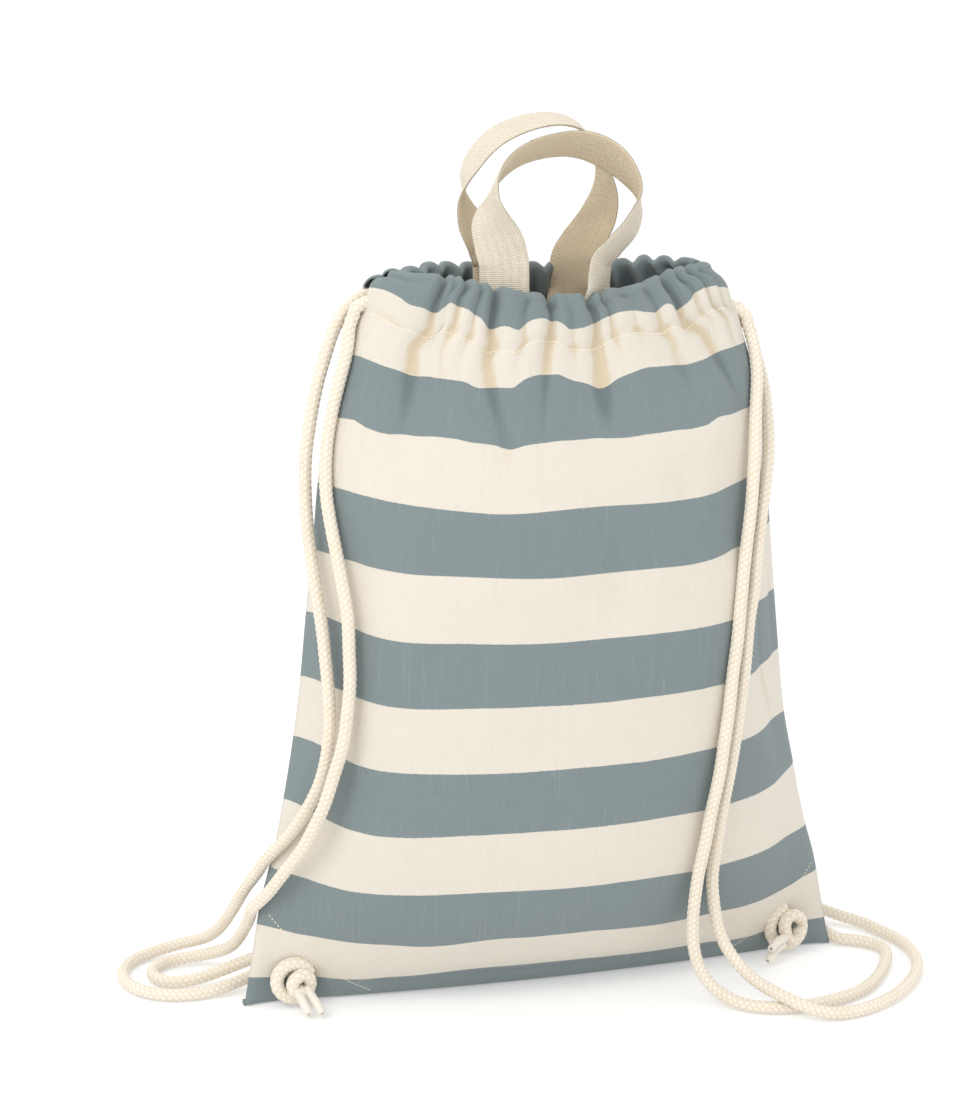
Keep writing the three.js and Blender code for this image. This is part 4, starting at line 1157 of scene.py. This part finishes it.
class OBJECT_OT_bag_handles(bpy.types.Operator):
    """Weaves the two webbing handles, from their sewn ends over the hem."""

    bl_idname = "object.bag_handles"
    bl_label = "Build Handles"

    def execute(self, context):
        cord = context.scene.bag_cord
        material = webbing_material("cotton_webbing", cord)
        for side in ("front", "back"):
            piece = self.strap(side, cord, material)
            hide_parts(f"{side}_handle", f"{side}_handle_left_end", f"{side}_handle_right_end")
            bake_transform(piece)
        return {"FINISHED"}

    def strap(self, side, cord, material):
        line = spline(HANDLES[side], 0.8)
        length = length_of(line)
        sewn = np.argmax(line[:, 2] > 424.3) / (len(line) - 1)
        share = np.clip((np.linspace(0, 1, len(line)) - sewn) / (1 - 2 * sewn), 0, 1)
        left, right = (math.radians(angle) for angle in ROOT_TURNS[side])
        quarter = math.pi / 2
        along = np.linspace(0, length, len(line))
        first, last = TWIST_ENDS[side]
        turn = left * rise(along, 2, 24) + (quarter - left) * rise(share, 0.01, first)
        turn += quarter - right * rise(length - along, 2, 24) - (quarter - right) * rise(1 - share, 0.01, last)
        lift = math.tan(math.radians(TILTS[side])) * np.sin(turn) ** 3
        flip = 1 if side == "front" else -1
        across = np.stack([np.cos(turn), -np.sin(turn) * flip, lift], 1)
        tangents = unit(np.gradient(line, axis=0))
        for _ in range(6):
            across = unit(across - tangents * np.einsum("ij,ij->i", across, tangents)[:, None])
        face = np.cross(across, tangents)
        half = cord.webbing_width * 500
        thick = cord.webbing_thickness * 500
        count = 29
        w = np.linspace(-1, 1, count)
        notch = 0.42 * (np.abs(np.sin(along * math.pi / 1.7)) - 0.5)
        edge = np.abs(w) ** 24
        cup = 0.5 * (1 - w**2)
        wave = 0.35 * np.sin(along / 11)[:, None] * w[None, :] ** 3
        wave = wave + 0.25 * np.sin(along / 7.3 + 1)[:, None] * (w[None, :] ** 2)
        wide = half * w[None, :] + np.sign(w)[None, :] * edge[None, :] * notch[:, None]
        rim = thick * np.sqrt(np.maximum(1 - np.abs(w) ** 14, 0.08))
        body = line[:, None, :] + across[:, None, :] * wide[..., None]
        body = body + face[:, None, :] * (cup[None, :] + wave - 0.25)[..., None]
        outer = body + face[:, None, :] * rim[None, :, None]
        inner = body - face[:, None, :] * rim[None, :, None]
        ring = np.concatenate([outer, inner[:, ::-1]], axis=1)
        places = np.concatenate([w * half, w[::-1] * half + 100])
        flat = np.stack([np.broadcast_to(places, ring.shape[:2]), np.broadcast_to(along[:, None], ring.shape[:2])], -1)
        ends = 2 * count
        caps = [list(range(ends))[::-1], [(len(line) - 1) * ends + k for k in range(ends)]]
        # Painted shade on the face turned from the light: the inner face of the front handle and the outer face of the
        # back one.
        shades = [0 * w, 0 * w + 1.0] if side == "front" else [0 * w + 1.0, 0 * w]
        shade = np.broadcast_to(np.concatenate(shades), ring.shape[:2])
        piece = make_mesh(
            f"{side}_handle_webbing", ring.reshape(-1, 3) * MM, grid_faces(len(line), ends, True),
            flat.reshape(-1, 2) * MM, shade, material, caps
        )
        return piece


class OBJECT_OT_bag_stage(bpy.types.Operator):
    """Sets the camera, the floor and the lights."""

    bl_idname = "object.bag_stage"
    bl_label = "Set Stage"

    def execute(self, context):
        stage = context.scene.bag_stage
        scene = context.scene
        a, e = stage.azimuth, stage.elevation
        back = Vector((math.sin(a) * math.cos(e), -math.cos(a) * math.cos(e), math.sin(e)))
        data = bpy.data.cameras.new("camera")
        data.sensor_fit = "HORIZONTAL"
        data.sensor_width = 36
        data.lens = stage.focal_length
        data.clip_start = 0.05
        camera = bpy.data.objects.new("camera", data)
        camera.location = Vector((-0.0423, 0, 0.26)) + back * stage.distance
        camera.rotation_euler = (-back).to_track_quat("-Z", "Y").to_euler()
        scene.collection.objects.link(camera)
        scene.camera = camera
        bpy.ops.mesh.primitive_plane_add(size=60, location=(0, 0, 0))
        floor = context.object
        floor.name = "stage_floor"
        floor.data.materials.append(floor_material())
        self.lamp("key_light", (-1.5, -1.1, 1.9), 1.3, 22, (1.0, 0.985, 0.96))
        self.lamp("fill_light", (1.2, -1.8, 1.0), 1.8, 5, (0.97, 0.985, 1.0))
        self.lamp("top_light", (0.0, 0.5, 2.4), 1.6, 7, (1, 1, 1))
        world = bpy.data.worlds.new("studio")
        world.use_nodes = True
        world.node_tree.nodes["Background"].inputs[0].default_value = (1, 1, 1, 1)
        world.node_tree.nodes["Background"].inputs[1].default_value = 1.0
        scene.world = world
        scene.view_settings.view_transform = "Standard"
        return {"FINISHED"}

    def lamp(self, name, place, size, power, colour):
        data = bpy.data.lights.new(name, "AREA")
        data.size = size
        data.energy = power
        data.color = colour
        lamp = bpy.data.objects.new(name, data)
        lamp.location = place
        lamp.rotation_euler = (Vector(place) - Vector((0, 0, 0.2))).to_track_quat("Z", "Y").to_euler()
        bpy.context.scene.collection.objects.link(lamp)


class VIEW3D_PT_drawstring_bag(bpy.types.Panel):
    """Sizes and build steps of the bag."""

    bl_idname = "VIEW3D_PT_drawstring_bag"
    bl_label = "Drawstring Bag"
    bl_space_type = "VIEW_3D"
    bl_region_type = "UI"
    bl_category = "Drawstring Bag"

    def draw(self, context):
        for group in ("bag_cloth", "bag_cord", "bag_stage"):
            box = self.layout.box()
            settings = getattr(context.scene, group)
            for name in settings.__annotations__:
                box.prop(settings, name)
        for operator in OPERATORS:
            self.layout.operator(operator.bl_idname)


GROUPS = {"bag_cloth": BagCloth, "bag_cord": BagCord, "bag_stage": BagStage}
OPERATORS = (
    OBJECT_OT_bag_stage,
    OBJECT_OT_bag_cloth,
    OBJECT_OT_bag_stitching,
    OBJECT_OT_bag_cords,
    OBJECT_OT_bag_knots,
    OBJECT_OT_bag_handles,
)


def register():
    for kind in (*GROUPS.values(), *OPERATORS, VIEW3D_PT_drawstring_bag):
        bpy.utils.register_class(kind)
    for name, kind in GROUPS.items():
        setattr(bpy.types.Scene, name, PointerProperty(type=kind))


def unregister():
    for name in GROUPS:
        delattr(bpy.types.Scene, name)
    for kind in reversed((*GROUPS.values(), *OPERATORS, VIEW3D_PT_drawstring_bag)):
        bpy.utils.unregister_class(kind)


def main():
    register()
    for operator in OPERATORS:
        name = operator.bl_idname.split(".")[1]
        getattr(bpy.ops.object, name)()


if __name__ == "__main__":
    main()
